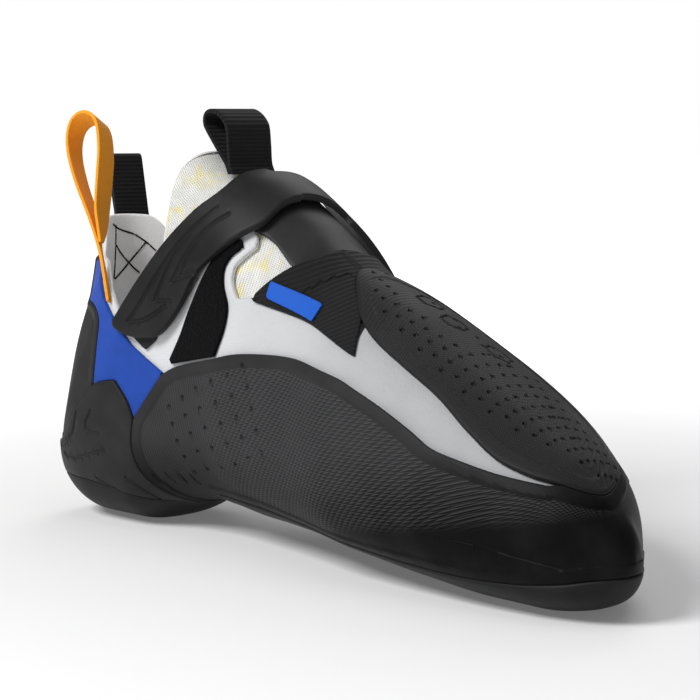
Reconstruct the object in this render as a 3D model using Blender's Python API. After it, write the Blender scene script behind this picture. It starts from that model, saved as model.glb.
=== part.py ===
"""A left climbing shoe standing on its sole, each piece a solid of its own.

Metres, +Z up, +X towards the toe, +Y the shoe's outer side. The origin is the
middle of the heel's flat spot, on the floor.

The shoe's outside is one skin of cross sections. Every layer of rubber, leather
or cloth is a shell between two depths under that skin, cut to its outline as
seen from the side, so neighbours keep the same gap all the way along.
"""

import bmesh
import bpy
import numpy as np
from mathutils import Vector

MM = 0.001

# Overall sizes
LENGTH = 246 * MM
BALL_WIDTH = 82.5 * MM
HEEL_WIDTH = 63 * MM
INSTEP_HEIGHT = 124 * MM
HEEL_HEIGHT = 100 * MM
ARCH_RISE = 9 * MM
TOE_RISE = 17.5 * MM

# Walls and layers
GAP = 0.3 * MM
UPPER_WALL = 1.8 * MM
RUBBER = 2.0 * MM
SOLE_THICKNESS = 4.0 * MM
SOLE_STEP = 0.4 * MM
PANEL_THICKNESS = 0.9 * MM
PATCH_STEP = 0.2 * MM
STRIP_THICKNESS = 1.3 * MM
STRAP_THICKNESS = 2.1 * MM
TONGUE_THICKNESS = 1.6 * MM
INSOLE_THICKNESS = 2.0 * MM
LABEL_THICKNESS = 0.5 * MM
WEBBING_THICKNESS = 1.3 * MM

# Plan outlines under the foot, measured in from the skin's side
FEATHER_INSET = 12 * MM
FEATHER_RISE = 3 * MM
INSOLE_INSET = 11.5 * MM
HEEL_ARC = 24 * MM
TOE_ARC = 22 * MM
NARROWEST_HALF = 3 * MM

# Pull loops and tab
HEEL_LOOP_HEIGHT = 41.5 * MM
HEEL_LOOP_SPREAD = 16 * MM
HEEL_LOOP_WIDTH = 8 * MM
HEEL_LOOP_LEAN = -7 * MM
HEEL_LOOP_TURN = (0, 1)
HEEL_LOOP_DIP = 0.42
TONGUE_LOOP_HEIGHT = 19.5 * MM
TONGUE_LOOP_SPREAD = 11 * MM
TONGUE_LOOP_WIDTH = 18 * MM
TONGUE_LOOP_LEAN = -9 * MM
TAB_HEIGHT = 20.5 * MM
TAB_SPREAD = 4 * MM
TAB_WIDTH = 11.5 * MM
TAB_LEAN = -4 * MM
TAB_TURN = (0.36, 0.93)

# The floor takes any point of the tread this close to it
FLAT_BAND = 1.45 * MM
SOLE_EDGE_BLEND = 5 * MM
HEEL_SPOT = 0.142

COLUMNS = (
    "station", "bottom_x", "heel_z", "arch_z", "toe_z", "top_x", "height",
    "inner", "outer", "ridge", "belly", "square_low", "square_high",
)
# bottom_x and top_x are shares of LENGTH. heel_z, arch_z and toe_z are shares of
# HEEL_HEIGHT, ARCH_RISE and TOE_RISE, height of INSTEP_HEIGHT, and inner, outer and
# ridge of half the width: HEEL_WIDTH in the first table, BALL_WIDTH in the second.
HEEL_SECTIONS = (
    (0.00, 0.057, 1.00, 0.00, 0, 0.236, 0.226, 0.635, 0.70, 0, 0.62, 2.0, 3.0),
    (0.05, 0.061, 0.78, 0.00, 0, 0.244, 0.371, 0.70, 0.79, 0, 0.56, 2.0, 3.2),
    (0.10, 0.055, 0.54, 0.00, 0, 0.252, 0.565, 0.76, 0.89, 0, 0.48, 2.1, 3.4),
    (0.15, 0.035, 0.28, 0.00, 0, 0.264, 0.774, 0.88, 0.985, 0, 0.42, 2.2, 3.6),
    (0.20, 0.031, 0.08, 0.00, 0, 0.276, 0.935, 0.95, 1.015, 0, 0.36, 2.4, 3.6),
    (0.25, 0.098, 0, 0.00, 0, 0.293, 1.000, 0.985, 1.015, 0, 0.32, 2.7, 3.4),
    (0.30, 0.179, 0, 0.00, 0, 0.317, 0.960, 0.95, 0.985, 0, 0.30, 2.8, 3.2),
    (0.36, 0.252, 0, 0.78, 0, 0.346, 0.867, 0.92, 1.015, 0, 0.32, 2.6, 3.0),
    (0.43, 0.333, 0, 1.00, 0, 0.386, 0.827, 0.95, 1.11, 0.03, 0.36, 2.5, 2.5),
)
BALL_SECTIONS = (
    (0.50, 0.427, 0, 0.75, 0.00, 0.447, 0.780, 0.776, 0.921, 0.048, 0.36, 2.5, 2.1),
    (0.58, 0.528, 0, 0.67, 0.00, 0.528, 0.669, 0.873, 0.994, 0.097, 0.35, 2.6, 1.9),
    (0.66, 0.630, 0, 0.44, 0.00, 0.614, 0.613, 0.985, 1.042, 0.145, 0.36, 2.7, 1.9),
    (0.74, 0.732, 0, 0.17, 0.00, 0.703, 0.544, 0.970, 0.970, 0.218, 0.37, 2.8, 2.0),
    (0.81, 0.821, 0, 0.00, 0.00, 0.793, 0.468, 0.945, 0.752, 0.291, 0.40, 2.8, 2.1),
    (0.87, 0.890, 0, 0.00, 0.00, 0.866, 0.395, 0.897, 0.461, 0.364, 0.42, 2.7, 2.1),
    (0.92, 0.939, 0, 0.00, 0.10, 0.923, 0.318, 0.824, 0.170, 0.412, 0.44, 2.6, 2.1),
    (0.96, 0.976, 0, 0.00, 0.33, 0.963, 0.204, 0.703, -0.145, 0.436, 0.45, 2.4, 2.0),
    (0.985, 0.994, 0, 0.00, 0.67, 0.990, 0.099, 0.582, -0.315, 0.448, 0.48, 2.2, 2.0),
    (1.00, 1.000, 0, 0.00, 1.00, 1.000, 0.000, 0.448, -0.448, 0.448, 0.50, 2.0, 2.0),
)
RINGS = (
    0.0, 0.04, 0.08, 0.12, 0.15, 0.18, 0.205, 0.23, 0.26, 0.30, 0.34, 0.385, 0.43,
    0.475, 0.52, 0.565, 0.61, 0.655, 0.70, 0.745, 0.79, 0.83, 0.865, 0.90, 0.93, 0.955,
    0.975, 0.99, 1.0,
)
SIDE_STEPS = 13
ARC_STEPS = 24

# Outlines seen from the side: x as a share of LENGTH, z as a share of INSTEP_HEIGHT
BELOW, ABOVE, BEHIND, AHEAD = -0.08, 1.25, -0.06, 1.05
HEEL_CUP_TOP = ((BEHIND, 0.18), (0.076, 0.21), (0.117, 0.287), (0.158, 0.364))
HEEL_CUP_PEAK = ((0.169, 0.376), (0.202, 0.387), (0.223, 0.337), (0.234, 0.294))
HEEL_CUP_FRONT = ((0.229, 0.234), (0.232, 0.181), (0.242, 0.126), (0.262, 0.060))
HEEL_SOLE_EDGE = ((BEHIND, 0.109), (0.124, 0.111), (0.187, 0.095), (0.262, 0.060))
ARCH_FRONT = 0.345
BALL_SOLE_EDGE = (
    (ARCH_FRONT, 0.112), (0.427, 0.108), (0.528, 0.094), (0.630, 0.078),
    (0.732, 0.069), (0.821, 0.066), (0.890, 0.073), (0.939, 0.085), (0.978, 0.100),
    (AHEAD, 0.108),
)
PANEL_BACK = ((0.161, 0.415), (0.166, 0.485), (0.168, 0.545), (0.118, 0.592), (0.112, 0.670))
PANEL_TOP = ((0.112, 0.684), (0.140, 0.680), (0.151, 0.655), (0.200, 0.541))
PANEL_FRONT = ((0.233, 0.478), (0.258, 0.448), (0.287, 0.416))
RAND_REAR = (0.264, 0.365)
RAND_TOP = (
    (0.315, 0.440), (0.378, 0.467), (0.425, 0.488), (0.478, 0.498), (0.532, 0.499),
    (0.577, 0.486), (0.618, 0.470), (0.645, 0.451), (0.687, 0.419), (0.737, 0.375),
    (0.768, 0.345), (0.813, 0.324), (0.860, 0.306), (0.915, 0.292),
)
PATCH_EDGE = (
    (0.641, 0.558), (0.698, 0.502), (0.753, 0.449), (0.806, 0.385), (0.851, 0.335),
    (0.889, 0.310),
)
PATCH_REAR = ((0.524, 0.742), (0.553, 0.689), (0.575, 0.656), (0.608, 0.602))
PATCH_TIP = ((0.930, 0.292), (0.980, 0.242))
GORE_LOW = ((0.439, 0.621), (0.528, 0.587), (0.583, 0.552), (0.628, 0.520))
GORE_REAR = ((0.512, ABOVE), (0.507, 0.734), (0.489, 0.713), (0.464, 0.672))
COLLAR_BACK = (
    (BEHIND, 0.796), (0.068, 0.790), (0.082, 0.772), (0.091, 0.742), (0.103, 0.706),
    (0.125, 0.696), (0.145, 0.690),
)
COLLAR_NOTCH = ((0.170, 0.655), (0.198, 0.580), (0.219, 0.530), (0.240, 0.508), (0.268, 0.516))
COLLAR_QUARTER = ((0.309, 0.580), (0.341, 0.661), (0.362, 0.730), (0.388, 0.790))
QUARTER_FRONT = ((0.414, 0.785), (0.426, 0.752), (0.401, 0.697), (0.404, 0.650))
THROAT_EDGE = ((0.414, 0.622), (0.439, 0.629), (0.528, 0.605), (0.583, 0.573))
THROAT_FRONT = ((0.618, 0.565), (0.612, 0.625), (0.585, 0.670), (0.553, ABOVE))
TONGUE_OUTLINE = (
    (0.262, 0.440), (0.272, 0.700), (0.278, 0.840), (0.290, ABOVE), (0.600, ABOVE),
    (0.655, 0.560), (0.640, 0.430), (0.440, 0.500), (0.340, 0.480),
)
STRAP_INNER = (
    (0.206, 0.540), (0.218, 0.568), (0.287, 0.737), (0.326, 0.821), (0.356, 0.885),
    (0.370, ABOVE), (0.440, ABOVE), (0.430, 0.806), (0.405, 0.765), (0.381, 0.728),
    (0.348, 0.669), (0.323, 0.585), (0.286, 0.514), (0.256, 0.502), (0.228, 0.508),
    (0.209, 0.524),
)
STRAP_OUTER = (
    (0.370, ABOVE), (0.370, 0.890), (0.385, 0.780), (0.395, 0.660), (0.405, 0.535),
    (0.480, 0.535), (0.475, 0.600), (0.466, 0.680), (0.455, 0.740), (0.443, 0.783),
    (0.430, 0.810), (0.440, ABOVE),
)
HOOK_PAD = ((0.226, 0.515), (0.226, 0.580), (0.282, 0.600), (0.276, 0.500), (0.256, 0.472))
LOOP_PATCH = (
    (0.287, 0.448), (0.328, 0.590), (0.362, 0.694), (0.386, 0.762), (0.408, 0.762),
    (0.411, 0.748), (0.389, 0.700), (0.391, 0.660), (0.404, 0.600), (0.400, 0.535),
    (0.389, 0.480), (0.340, 0.462),
)
LABEL = ((0.467, 0.667), (0.467, 0.628), (0.545, 0.583), (0.549, 0.622))
TAIL = ((0.142, 0.735), (0.158, 0.735), (0.164, 0.680), (0.197, 0.592), (0.190, 0.582),
        (0.154, 0.672))
MIDLINE_OVERLAP = 1 * MM
REACH = 80 * MM

COLOURS = {
    "white_leather": ((0.78, 0.78, 0.80), 0.62),
    "black_rubber": ((0.030, 0.030, 0.032), 0.55),
    "textured_rubber": ((0.045, 0.045, 0.047), 0.60),
    "blue_panel": ((0.02, 0.08, 0.45), 0.65),
    "black_knit": ((0.020, 0.020, 0.022), 0.85),
    "mesh_cloth": ((0.72, 0.70, 0.55), 0.80),
    "black_webbing": ((0.018, 0.018, 0.020), 0.80),
    "orange_webbing": ((0.75, 0.23, 0.015), 0.75),
    "loop_pile": ((0.012, 0.012, 0.013), 0.95),
    "hook_plastic": ((0.020, 0.020, 0.020), 0.70),
    "insole_cloth": ((0.20, 0.20, 0.21), 0.90),
    "midsole_board": ((0.08, 0.08, 0.09), 0.75),
}


def smooth_curve(xs, ys, at):
    """Reads at the places given a smooth curve through the points that never overshoots."""
    xs, ys = np.asarray(xs, float), np.asarray(ys, float)
    step = np.diff(xs)
    slope = np.diff(ys) / step
    tangent = np.r_[slope[0], np.zeros(len(xs) - 2), slope[-1]]
    before, after = slope[:-1], slope[1:]
    turns = before * after <= 0
    weight_a = 2 * step[1:] + step[:-1]
    weight_b = step[1:] + 2 * step[:-1]
    safe_before, safe_after = np.where(turns, 1, before), np.where(turns, 1, after)
    mean = (weight_a + weight_b) / (weight_a / safe_before + weight_b / safe_after)
    tangent[1:-1] = np.where(turns, 0, mean)
    k = np.clip(np.searchsorted(xs, at, side="right") - 1, 0, len(xs) - 2)
    u = (at - xs[k]) / step[k]
    start = (1 + 2 * u) * (1 - u) ** 2 * ys[k] + u * (1 - u) ** 2 * step[k] * tangent[k]
    end = u**2 * (3 - 2 * u) * ys[k + 1] + u**2 * (u - 1) * step[k] * tangent[k + 1]
    return start + end


def sections_in_metres():
    """The two section tables as one, with every length in metres."""
    rows = []
    for table, width in ((HEEL_SECTIONS, HEEL_WIDTH), (BALL_SECTIONS, BALL_WIDTH)):
        for values in table:
            row = dict(zip(COLUMNS, values))
            low = row["heel_z"] * HEEL_HEIGHT + row["arch_z"] * ARCH_RISE + row["toe_z"] * TOE_RISE
            rows.append({
                "station": row["station"],
                "low_x": (row["bottom_x"] - HEEL_SPOT) * LENGTH,
                "low_z": low,
                "top_x": (row["top_x"] - HEEL_SPOT) * LENGTH,
                "top_z": low + row["height"] * INSTEP_HEIGHT,
                "inner": row["inner"] * width / 2,
                "outer": row["outer"] * width / 2,
                "ridge": row["ridge"] * width / 2,
                "belly": row["belly"],
                "square_low": row["square_low"],
                "square_high": row["square_high"],
            })
    return rows


SECTIONS = sections_in_metres()


def section_at(stations):
    """Every column of the section table at the given stations."""
    known = [row["station"] for row in SECTIONS]
    return {
        name: smooth_curve(known, [row[name] for row in SECTIONS], np.asarray(stations, float))
        for name in SECTIONS[0]
        if name != "station"
    }


def half_section(edge, middle, ridge, belly, square_low, square_high, rise):
    """One side of a section from its bottom to its ridge, at even steps of arc.

    Gives the y of each point towards the edge, and its share of the height."""
    angle = np.linspace(0, np.pi / 2, ARC_STEPS)
    low_y = middle + (edge - middle) * np.sin(angle) ** (2 / square_low)
    low_r = belly * (1 - np.cos(angle) ** (2 / square_low))
    high_y = ridge + (edge - ridge) * np.cos(angle) ** (2 / square_high)
    high_r = belly + (1 - belly) * np.sin(angle) ** (2 / square_high)
    y, r = np.r_[low_y, high_y[1:]], np.r_[low_r, high_r[1:]]
    arc = np.r_[0, np.cumsum(np.hypot(np.diff(y), np.diff(r) * rise))]
    even = np.linspace(0, max(arc[-1], 1e-9), SIDE_STEPS + 1)
    return np.interp(even, arc, y), np.interp(even, arc, r)


def skin_rings():
    """The skin's points, one ring for each station, from the bottom round by the outer side."""
    values = section_at(RINGS)
    rings = np.zeros((len(RINGS), 2 * SIDE_STEPS, 3))
    for i in range(len(RINGS)):
        low = np.array([values["low_x"][i], values["low_z"][i]])
        top = np.array([values["top_x"][i], values["top_z"][i]])
        shape = [values[name][i] for name in ("belly", "square_low", "square_high")]
        inner, outer, ridge = values["inner"][i], values["outer"][i], values["ridge"][i]
        rise = np.hypot(*(top - low))
        middle = (inner - outer) / 2
        y_out, r_out = half_section(-outer, middle, ridge, *shape, rise)
        y_in, r_in = half_section(inner, middle, ridge, *shape, rise)
        y = -np.r_[y_out, y_in[-2:0:-1]]
        r = np.r_[r_out, r_in[-2:0:-1]]
        line = low + (top - low) * r[:, None]
        rings[i] = np.column_stack([line[:, 0], y, line[:, 1]])
    return rings


def skin_faces(ring_count, size):
    """Faces of the closed skin: heel cap, two triangles for each cell, and the toe fan."""
    faces = [tuple(range(size - 1, -1, -1))]
    for i in range(ring_count - 2):
        for j in range(size):
            here, beside = i * size + j, i * size + (j + 1) % size
            faces.append((here, beside, beside + size))
            faces.append((here, beside + size, here + size))
    tip = (ring_count - 1) * size
    last = tip - size
    faces += [(last + j, last + (j + 1) % size, tip) for j in range(size)]
    return faces


def outward_directions(points, faces):
    """The skin's direction at each point, as the mean of the faces round it, heel cap left out."""
    total = np.zeros_like(points)
    for face in faces[1:]:
        corners = points[list(face)]
        normal = np.cross(corners[1] - corners[0], corners[-1] - corners[0])
        total[list(face)] += normal
    return total / np.maximum(np.linalg.norm(total, axis=1), 1e-12)[:, None]


RING_POINTS = skin_rings()
SKIN = np.vstack([RING_POINTS[:-1].reshape(-1, 3), RING_POINTS[-1, :1]])
SKIN_FACES = skin_faces(len(RINGS), 2 * SIDE_STEPS)
SKIN_OUT = outward_directions(SKIN, SKIN_FACES)


def outline(shares):
    """A side outline in metres from shares of the shoe's length and height."""
    return [((x - HEEL_SPOT) * LENGTH, z * INSTEP_HEIGHT) for x, z in shares]


def cover():
    """How deep the upper lies under the skin: the rubber's thickness, and the sole's below it."""
    edge = outline(HEEL_SOLE_EDGE + BALL_SOLE_EDGE)
    line = np.interp(SKIN[:, 0], [p[0] for p in edge], [p[1] for p in edge])
    share = np.clip((SKIN[:, 2] - line) / SOLE_EDGE_BLEND, 0, 1)
    return GAP + SOLE_THICKNESS + (RUBBER - SOLE_THICKNESS) * share


COVER = cover()


def material(name):
    """The finish of that name, made once."""
    made = bpy.data.materials.get(name)
    if made:
        return made
    colour, roughness = COLOURS[name]
    made = bpy.data.materials.new(name)
    made.use_nodes = True
    surface = made.node_tree.nodes["Principled BSDF"]
    surface.inputs["Base Color"].default_value = (*colour, 1)
    surface.inputs["Roughness"].default_value = roughness
    surface.inputs["Metallic"].default_value = 0
    made.diffuse_color = (*colour, 1)
    return made


def new_object(name, points, faces, finish=None):
    """A mesh object made of these points and faces, linked to the scene."""
    mesh = bpy.data.meshes.new(name)
    mesh.from_pydata([tuple(p) for p in points], [], faces)
    mesh.update()
    made = bpy.data.objects.new(name, mesh)
    bpy.context.scene.collection.objects.link(made)
    if finish:
        mesh.materials.append(material(finish))
    return made


def layer(name, outside, inside, finish, tread=False):
    """A closed shell between two depths under the skin, given as numbers or one for each point."""
    size = len(SKIN)
    outer = SKIN - SKIN_OUT * np.broadcast_to(outside, size)[:, None]
    inner = SKIN - SKIN_OUT * np.broadcast_to(inside, size)[:, None]
    if tread:
        outer[:, 2] = np.where(outer[:, 2] < FLAT_BAND, 0, outer[:, 2])
    faces = SKIN_FACES + [tuple(size + i for i in face[::-1]) for face in SKIN_FACES]
    return new_object(name, np.vstack([outer, inner]), faces, finish)


def prism(flat, low, high, axis):
    """A closed bar with this outline, from low to high along the axis y or z."""
    area = sum(a[0] * b[1] - b[0] * a[1] for a, b in zip(flat, flat[1:] + flat[:1]))
    if (area > 0) == (axis == "y"):
        flat = flat[::-1]
    count = len(flat)
    place = (lambda p, h: (p[0], h, p[1])) if axis == "y" else (lambda p, h: (p[0], p[1], h))
    points = [place(p, low) for p in flat] + [place(p, high) for p in flat]
    faces = [tuple(range(count - 1, -1, -1)), tuple(range(count, 2 * count))]
    for i in range(count):
        k = (i + 1) % count
        faces.append((i, k, count + k, count + i))
    return new_object("cutter", points, faces)


def shrunk(flat, by):
    """The outline with each side moved inwards by this much."""
    area = sum(a[0] * b[1] - b[0] * a[1] for a, b in zip(flat, flat[1:] + flat[:1]))
    way = 1 if area > 0 else -1
    moved = []
    for i, here in enumerate(flat):
        here = np.array(here)
        before = here - np.array(flat[i - 1])
        after = np.array(flat[(i + 1) % len(flat)]) - here
        before, after = before / np.linalg.norm(before), after / np.linalg.norm(after)
        normal_a = way * np.array([-before[1], before[0]])
        normal_b = way * np.array([-after[1], after[0]])
        mean = normal_a + normal_b
        moved.append(tuple(here + mean * by / max(mean @ normal_a, 0.3)))
    return moved


def side_cutter(shares, low=-REACH, high=REACH, by=GAP / 2):
    """A bar across the shoe with this side outline, half a gap inside it."""
    return prism(shrunk(outline(shares), by), low, high, "y")


def apply_modifiers(target):
    """Turns the object's modifiers into its mesh."""
    bpy.context.view_layer.update()
    evaluated = target.evaluated_get(bpy.context.evaluated_depsgraph_get())
    shaped = bpy.data.meshes.new_from_object(evaluated)
    target.modifiers.clear()
    target.data = shaped


def combine(target, other, operation):
    """A Boolean of the two objects, kept in the first. The second is removed."""
    modifier = target.modifiers.new("cut", "BOOLEAN")
    modifier.operation = operation
    modifier.object = other
    modifier.use_self = True
    apply_modifiers(target)
    bpy.data.objects.remove(other)
    return target


def tidy(target):
    """Merges points that a cut left together and shades the solid smooth but for its edges."""
    shape = bmesh.new()
    shape.from_mesh(target.data)
    bmesh.ops.remove_doubles(shape, verts=shape.verts, dist=0.00002)
    bmesh.ops.dissolve_degenerate(shape, edges=shape.edges, dist=0.00002)
    bmesh.ops.triangulate(shape, faces=shape.faces)
    shape.to_mesh(target.data)
    shape.free()
    target.data.shade_smooth()
    target.data.set_sharp_from_angle(angle=0.7)
    return target


def cut_layer(name, outside, inside, finish, shares, low=-REACH, high=REACH, tread=False):
    """A piece of shell with this side outline."""
    piece = layer(name, outside, inside, finish, tread)
    return tidy(combine(piece, side_cutter(shares, low, high), "INTERSECT"))


def plan_outline(inset):
    """The outline of the foot's bed seen from above, this far inside the skin's sides."""
    values = section_at(RINGS)
    use = np.array(RINGS) >= 0.25
    known_x = values["low_x"][use]
    rear = (0.060 - HEEL_SPOT) * LENGTH + inset / 2
    front = (0.985 - HEEL_SPOT) * LENGTH - inset / 2
    share = (1 - np.cos(np.linspace(0, np.pi, 18))) / 2
    x = rear + (front - rear) * share[1:-1]
    outer = np.interp(x, known_x, values["outer"][use])
    inner = np.interp(x, known_x, values["inner"][use])
    half = (inner + outer) / 2 - inset
    heel_bend = np.sqrt(1 - np.clip((rear + HEEL_ARC - x) / HEEL_ARC, 0, 1) ** 2)
    toe_bend = np.sqrt(1 - np.clip((x - front + TOE_ARC) / TOE_ARC, 0, 1) ** 2)
    half = np.maximum(half, NARROWEST_HALF) * np.minimum(heel_bend, toe_bend)
    middle = (outer - inner) / 2
    left = list(zip(x, middle + half))
    right = list(zip(x, middle - half))
    return [(rear, middle[0])] + left + [(front, middle[-1])] + right[::-1]


def bed_cutter(inset, top):
    """An upright bar with the bed's outline, which reaches from below the floor up to top."""
    return prism(plan_outline(inset), -SOLE_THICKNESS, top, "z")


BED_TOP = ARCH_RISE + SOLE_THICKNESS + GAP + UPPER_WALL + FEATHER_RISE
COLLAR_CUT = (
    COLLAR_BACK + COLLAR_NOTCH + COLLAR_QUARTER + QUARTER_FRONT + THROAT_EDGE + THROAT_FRONT
    + ((BEHIND, ABOVE),)
)


def make_upper():
    """The hollow upper: one wall, open at collar and throat, and underneath inside its feather."""
    upper = layer("upper", COVER, COVER + UPPER_WALL, "white_leather")
    combine(upper, side_cutter(COLLAR_CUT, by=0), "DIFFERENCE")
    combine(upper, bed_cutter(FEATHER_INSET, BED_TOP), "DIFFERENCE")
    return tidy(upper)


def make_bed():
    """The midsole board in the upper's lower opening, and the insole on top of it."""
    board = layer("midsole", COVER, COVER + UPPER_WALL, "midsole_board")
    tidy(combine(board, bed_cutter(FEATHER_INSET + GAP, BED_TOP), "INTERSECT"))
    low = COVER + UPPER_WALL + GAP
    insole = layer("insole", low, low + INSOLE_THICKNESS, "insole_cloth")
    top = BED_TOP + INSOLE_THICKNESS
    tidy(combine(insole, bed_cutter(INSOLE_INSET, top), "INTERSECT"))


def make_soles():
    """The rubber under heel and forefoot, with a flat spot on the floor under each."""
    under = ((0.262, BELOW), (BEHIND, BELOW))
    cut_layer("heel_sole", 0, COVER - GAP, "black_rubber", HEEL_SOLE_EDGE + under, tread=True)
    front = ((AHEAD, BELOW), (ARCH_FRONT, BELOW))
    cut_layer("outsole", 0, COVER - GAP, "black_rubber", BALL_SOLE_EDGE + front, tread=True)


def make_rubber():
    """Rand, heel cup, heel strip and toe patch: the rubber that wraps the upper."""
    tip_side = PATCH_TIP + ((AHEAD, PATCH_TIP[-1][1]),) + BALL_SOLE_EDGE[::-1]
    arch_side = ((ARCH_FRONT, BELOW), (0.262, BELOW))
    rear_side = HEEL_CUP_FRONT[::-1] + (HEEL_CUP_PEAK[-1], RAND_REAR, PANEL_FRONT[-1])
    rand = RAND_TOP + tip_side + arch_side + rear_side
    cut_layer("rand", SOLE_STEP, COVER - GAP, "textured_rubber", rand)
    cup = HEEL_CUP_TOP + HEEL_CUP_PEAK + HEEL_CUP_FRONT + HEEL_SOLE_EDGE[-2::-1]
    cut_layer("heel_cup", 0, COVER - GAP, "black_rubber", cup)
    strip = HEEL_CUP_TOP + PANEL_BACK + ((BEHIND, 0.720),)
    cut_layer("heel_strip", RUBBER - STRIP_THICKNESS, RUBBER, "black_rubber", strip)
    tip = ((AHEAD, PATCH_TIP[-1][1]), (AHEAD, ABOVE), (0.520, ABOVE))
    patch = PATCH_REAR + PATCH_EDGE + PATCH_TIP + tip
    cut_layer("toe_patch", PATCH_STEP, RUBBER, "textured_rubber", patch)


def make_side_panels():
    """The two thin coloured panels that join heel cup, collar and rand."""
    shares = PANEL_TOP + PANEL_FRONT + (RAND_REAR,) + HEEL_CUP_PEAK[::-1]
    shares += (HEEL_CUP_TOP[-1],) + PANEL_BACK
    depth = RUBBER - PANEL_THICKNESS
    cut_layer("side_panel_inner", depth, RUBBER, "blue_panel", shares, high=0)
    cut_layer("side_panel_outer", depth, RUBBER, "blue_panel", shares, low=0)


def make_throat():
    """Tongue inside the upper, and the elastic gore that closes the throat over it."""
    low = RUBBER + GAP + UPPER_WALL + GAP
    cut_layer("tongue", low, low + TONGUE_THICKNESS, "mesh_cloth", TONGUE_OUTLINE)
    shares = GORE_LOW + PATCH_REAR[::-1] + ((0.520, ABOVE),) + GORE_REAR
    cut_layer("gore", RUBBER - PANEL_THICKNESS, RUBBER, "black_knit", shares)
    depth = RUBBER - PANEL_THICKNESS - GAP
    cut_layer("label_tag", depth - LABEL_THICKNESS, depth, "blue_panel", LABEL, high=0)


def make_closure():
    """The strap over the instep, its hook pad, and the pile patch that it grips."""
    depth = RUBBER - PANEL_THICKNESS
    cut_layer("loop_patch", depth, RUBBER, "loop_pile", LOOP_PATCH, high=0)
    cut_layer("hook_pad", depth, RUBBER, "hook_plastic", HOOK_PAD, high=0)
    low = depth - GAP
    strap = layer("strap", low - STRAP_THICKNESS, low, "black_rubber")
    both = side_cutter(STRAP_INNER, high=MIDLINE_OVERLAP, by=0)
    combine(both, side_cutter(STRAP_OUTER, low=0, by=0), "UNION")
    tidy(combine(strap, both, "INTERSECT"))


def loop_profile(height, spread, wall):
    """A webbing loop seen along its hole: outer and inner outline, the base at the origin."""
    turn = np.linspace(0, np.pi, 9)
    radius = spread / 2
    crown = [(radius * np.cos(a), height - radius + radius * np.sin(a)) for a in turn]
    neck = wall
    outer = [(neck, 0), (neck, 0.12 * height)] + crown + [(-neck, 0.12 * height), (-neck, 0)]
    hole = radius - wall
    inner = [(hole * np.cos(a), height - radius + hole * np.sin(a)) for a in turn]
    inner += [(0, 0.12 * height + 2 * wall)]
    return outer, inner


def webbing_loop(name, base, turn, lean, height, spread, width, finish, dip=0):
    """A loop of webbing on base, its hole along turn, its top shifted by lean, its far edge lower."""
    along = Vector((turn[0], turn[1], 0)).normalized()
    across = Vector((-along.y, along.x, 0))
    outer, inner = loop_profile(height, spread, WEBBING_THICKNESS)

    def solid(flat, half):
        points = []
        for side in (-half, half):
            for u, v in flat:
                points.append(Vector(base) + along * side + across * u
                              + Vector((lean * v / height, 0, v - dip * side)))
        count = len(flat)
        faces = [tuple(range(count)), tuple(range(2 * count - 1, count - 1, -1))]
        faces += [(i, count + i, count + (i + 1) % count, (i + 1) % count) for i in range(count)]
        made = new_object(name, points, faces, finish)
        shape = bmesh.new()
        shape.from_mesh(made.data)
        bmesh.ops.recalc_face_normals(shape, faces=shape.faces)
        shape.to_mesh(made.data)
        shape.free()
        return made

    return combine(solid(outer, width / 2), solid(inner, width), "DIFFERENCE")


def at(x_share, y, z_share):
    """A point from shares of length and height, and its y."""
    return ((x_share - HEEL_SPOT) * LENGTH, y, z_share * INSTEP_HEIGHT)


def make_pull_loops():
    """The heel loop with its sewn tail, the tab at the back of the heel, and the tongue loop."""
    loop = webbing_loop("heel_pull_loop", at(0.152, -0.70 * HEEL_WIDTH / 2, 0.720), HEEL_LOOP_TURN,
                        HEEL_LOOP_LEAN, HEEL_LOOP_HEIGHT, HEEL_LOOP_SPREAD, HEEL_LOOP_WIDTH,
                        "orange_webbing", HEEL_LOOP_DIP)
    tail = layer("tail", RUBBER - PANEL_THICKNESS, RUBBER, "orange_webbing")
    combine(tail, side_cutter(TAIL, high=0), "INTERSECT")
    tidy(combine(loop, tail, "UNION"))
    tidy(webbing_loop("ankle_tab", at(0.064, 0.20 * HEEL_WIDTH / 2, 0.7875), TAB_TURN,
                      TAB_LEAN, TAB_HEIGHT, TAB_SPREAD, TAB_WIDTH, "black_webbing"))
    tidy(webbing_loop("tongue_loop", at(0.331, 0, 0.914), (0, 1), TONGUE_LOOP_LEAN,
                      TONGUE_LOOP_HEIGHT, TONGUE_LOOP_SPREAD, TONGUE_LOOP_WIDTH, "black_webbing"))


def main():
    """Clears the scene and builds the shoe."""
    for thing in list(bpy.data.objects):
        bpy.data.objects.remove(thing, do_unlink=True)
    make_upper()
    make_bed()
    make_soles()
    make_rubber()
    make_side_panels()
    make_throat()
    make_closure()
    make_pull_loops()


main()
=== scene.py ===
"""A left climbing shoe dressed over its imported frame, on a pale floor in soft light.

Every layer of rubber, leather or cloth is cut like a shoemaker's pattern: a grid on the
last's stations, trimmed to its outline as seen from the side, then lasted at its depth
under one smooth skin. Webbing, threads and tags are modelled on their own.
"""

import logging
import math
from dataclasses import dataclass, field
from enum import Enum
from typing import Callable, Sequence

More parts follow.
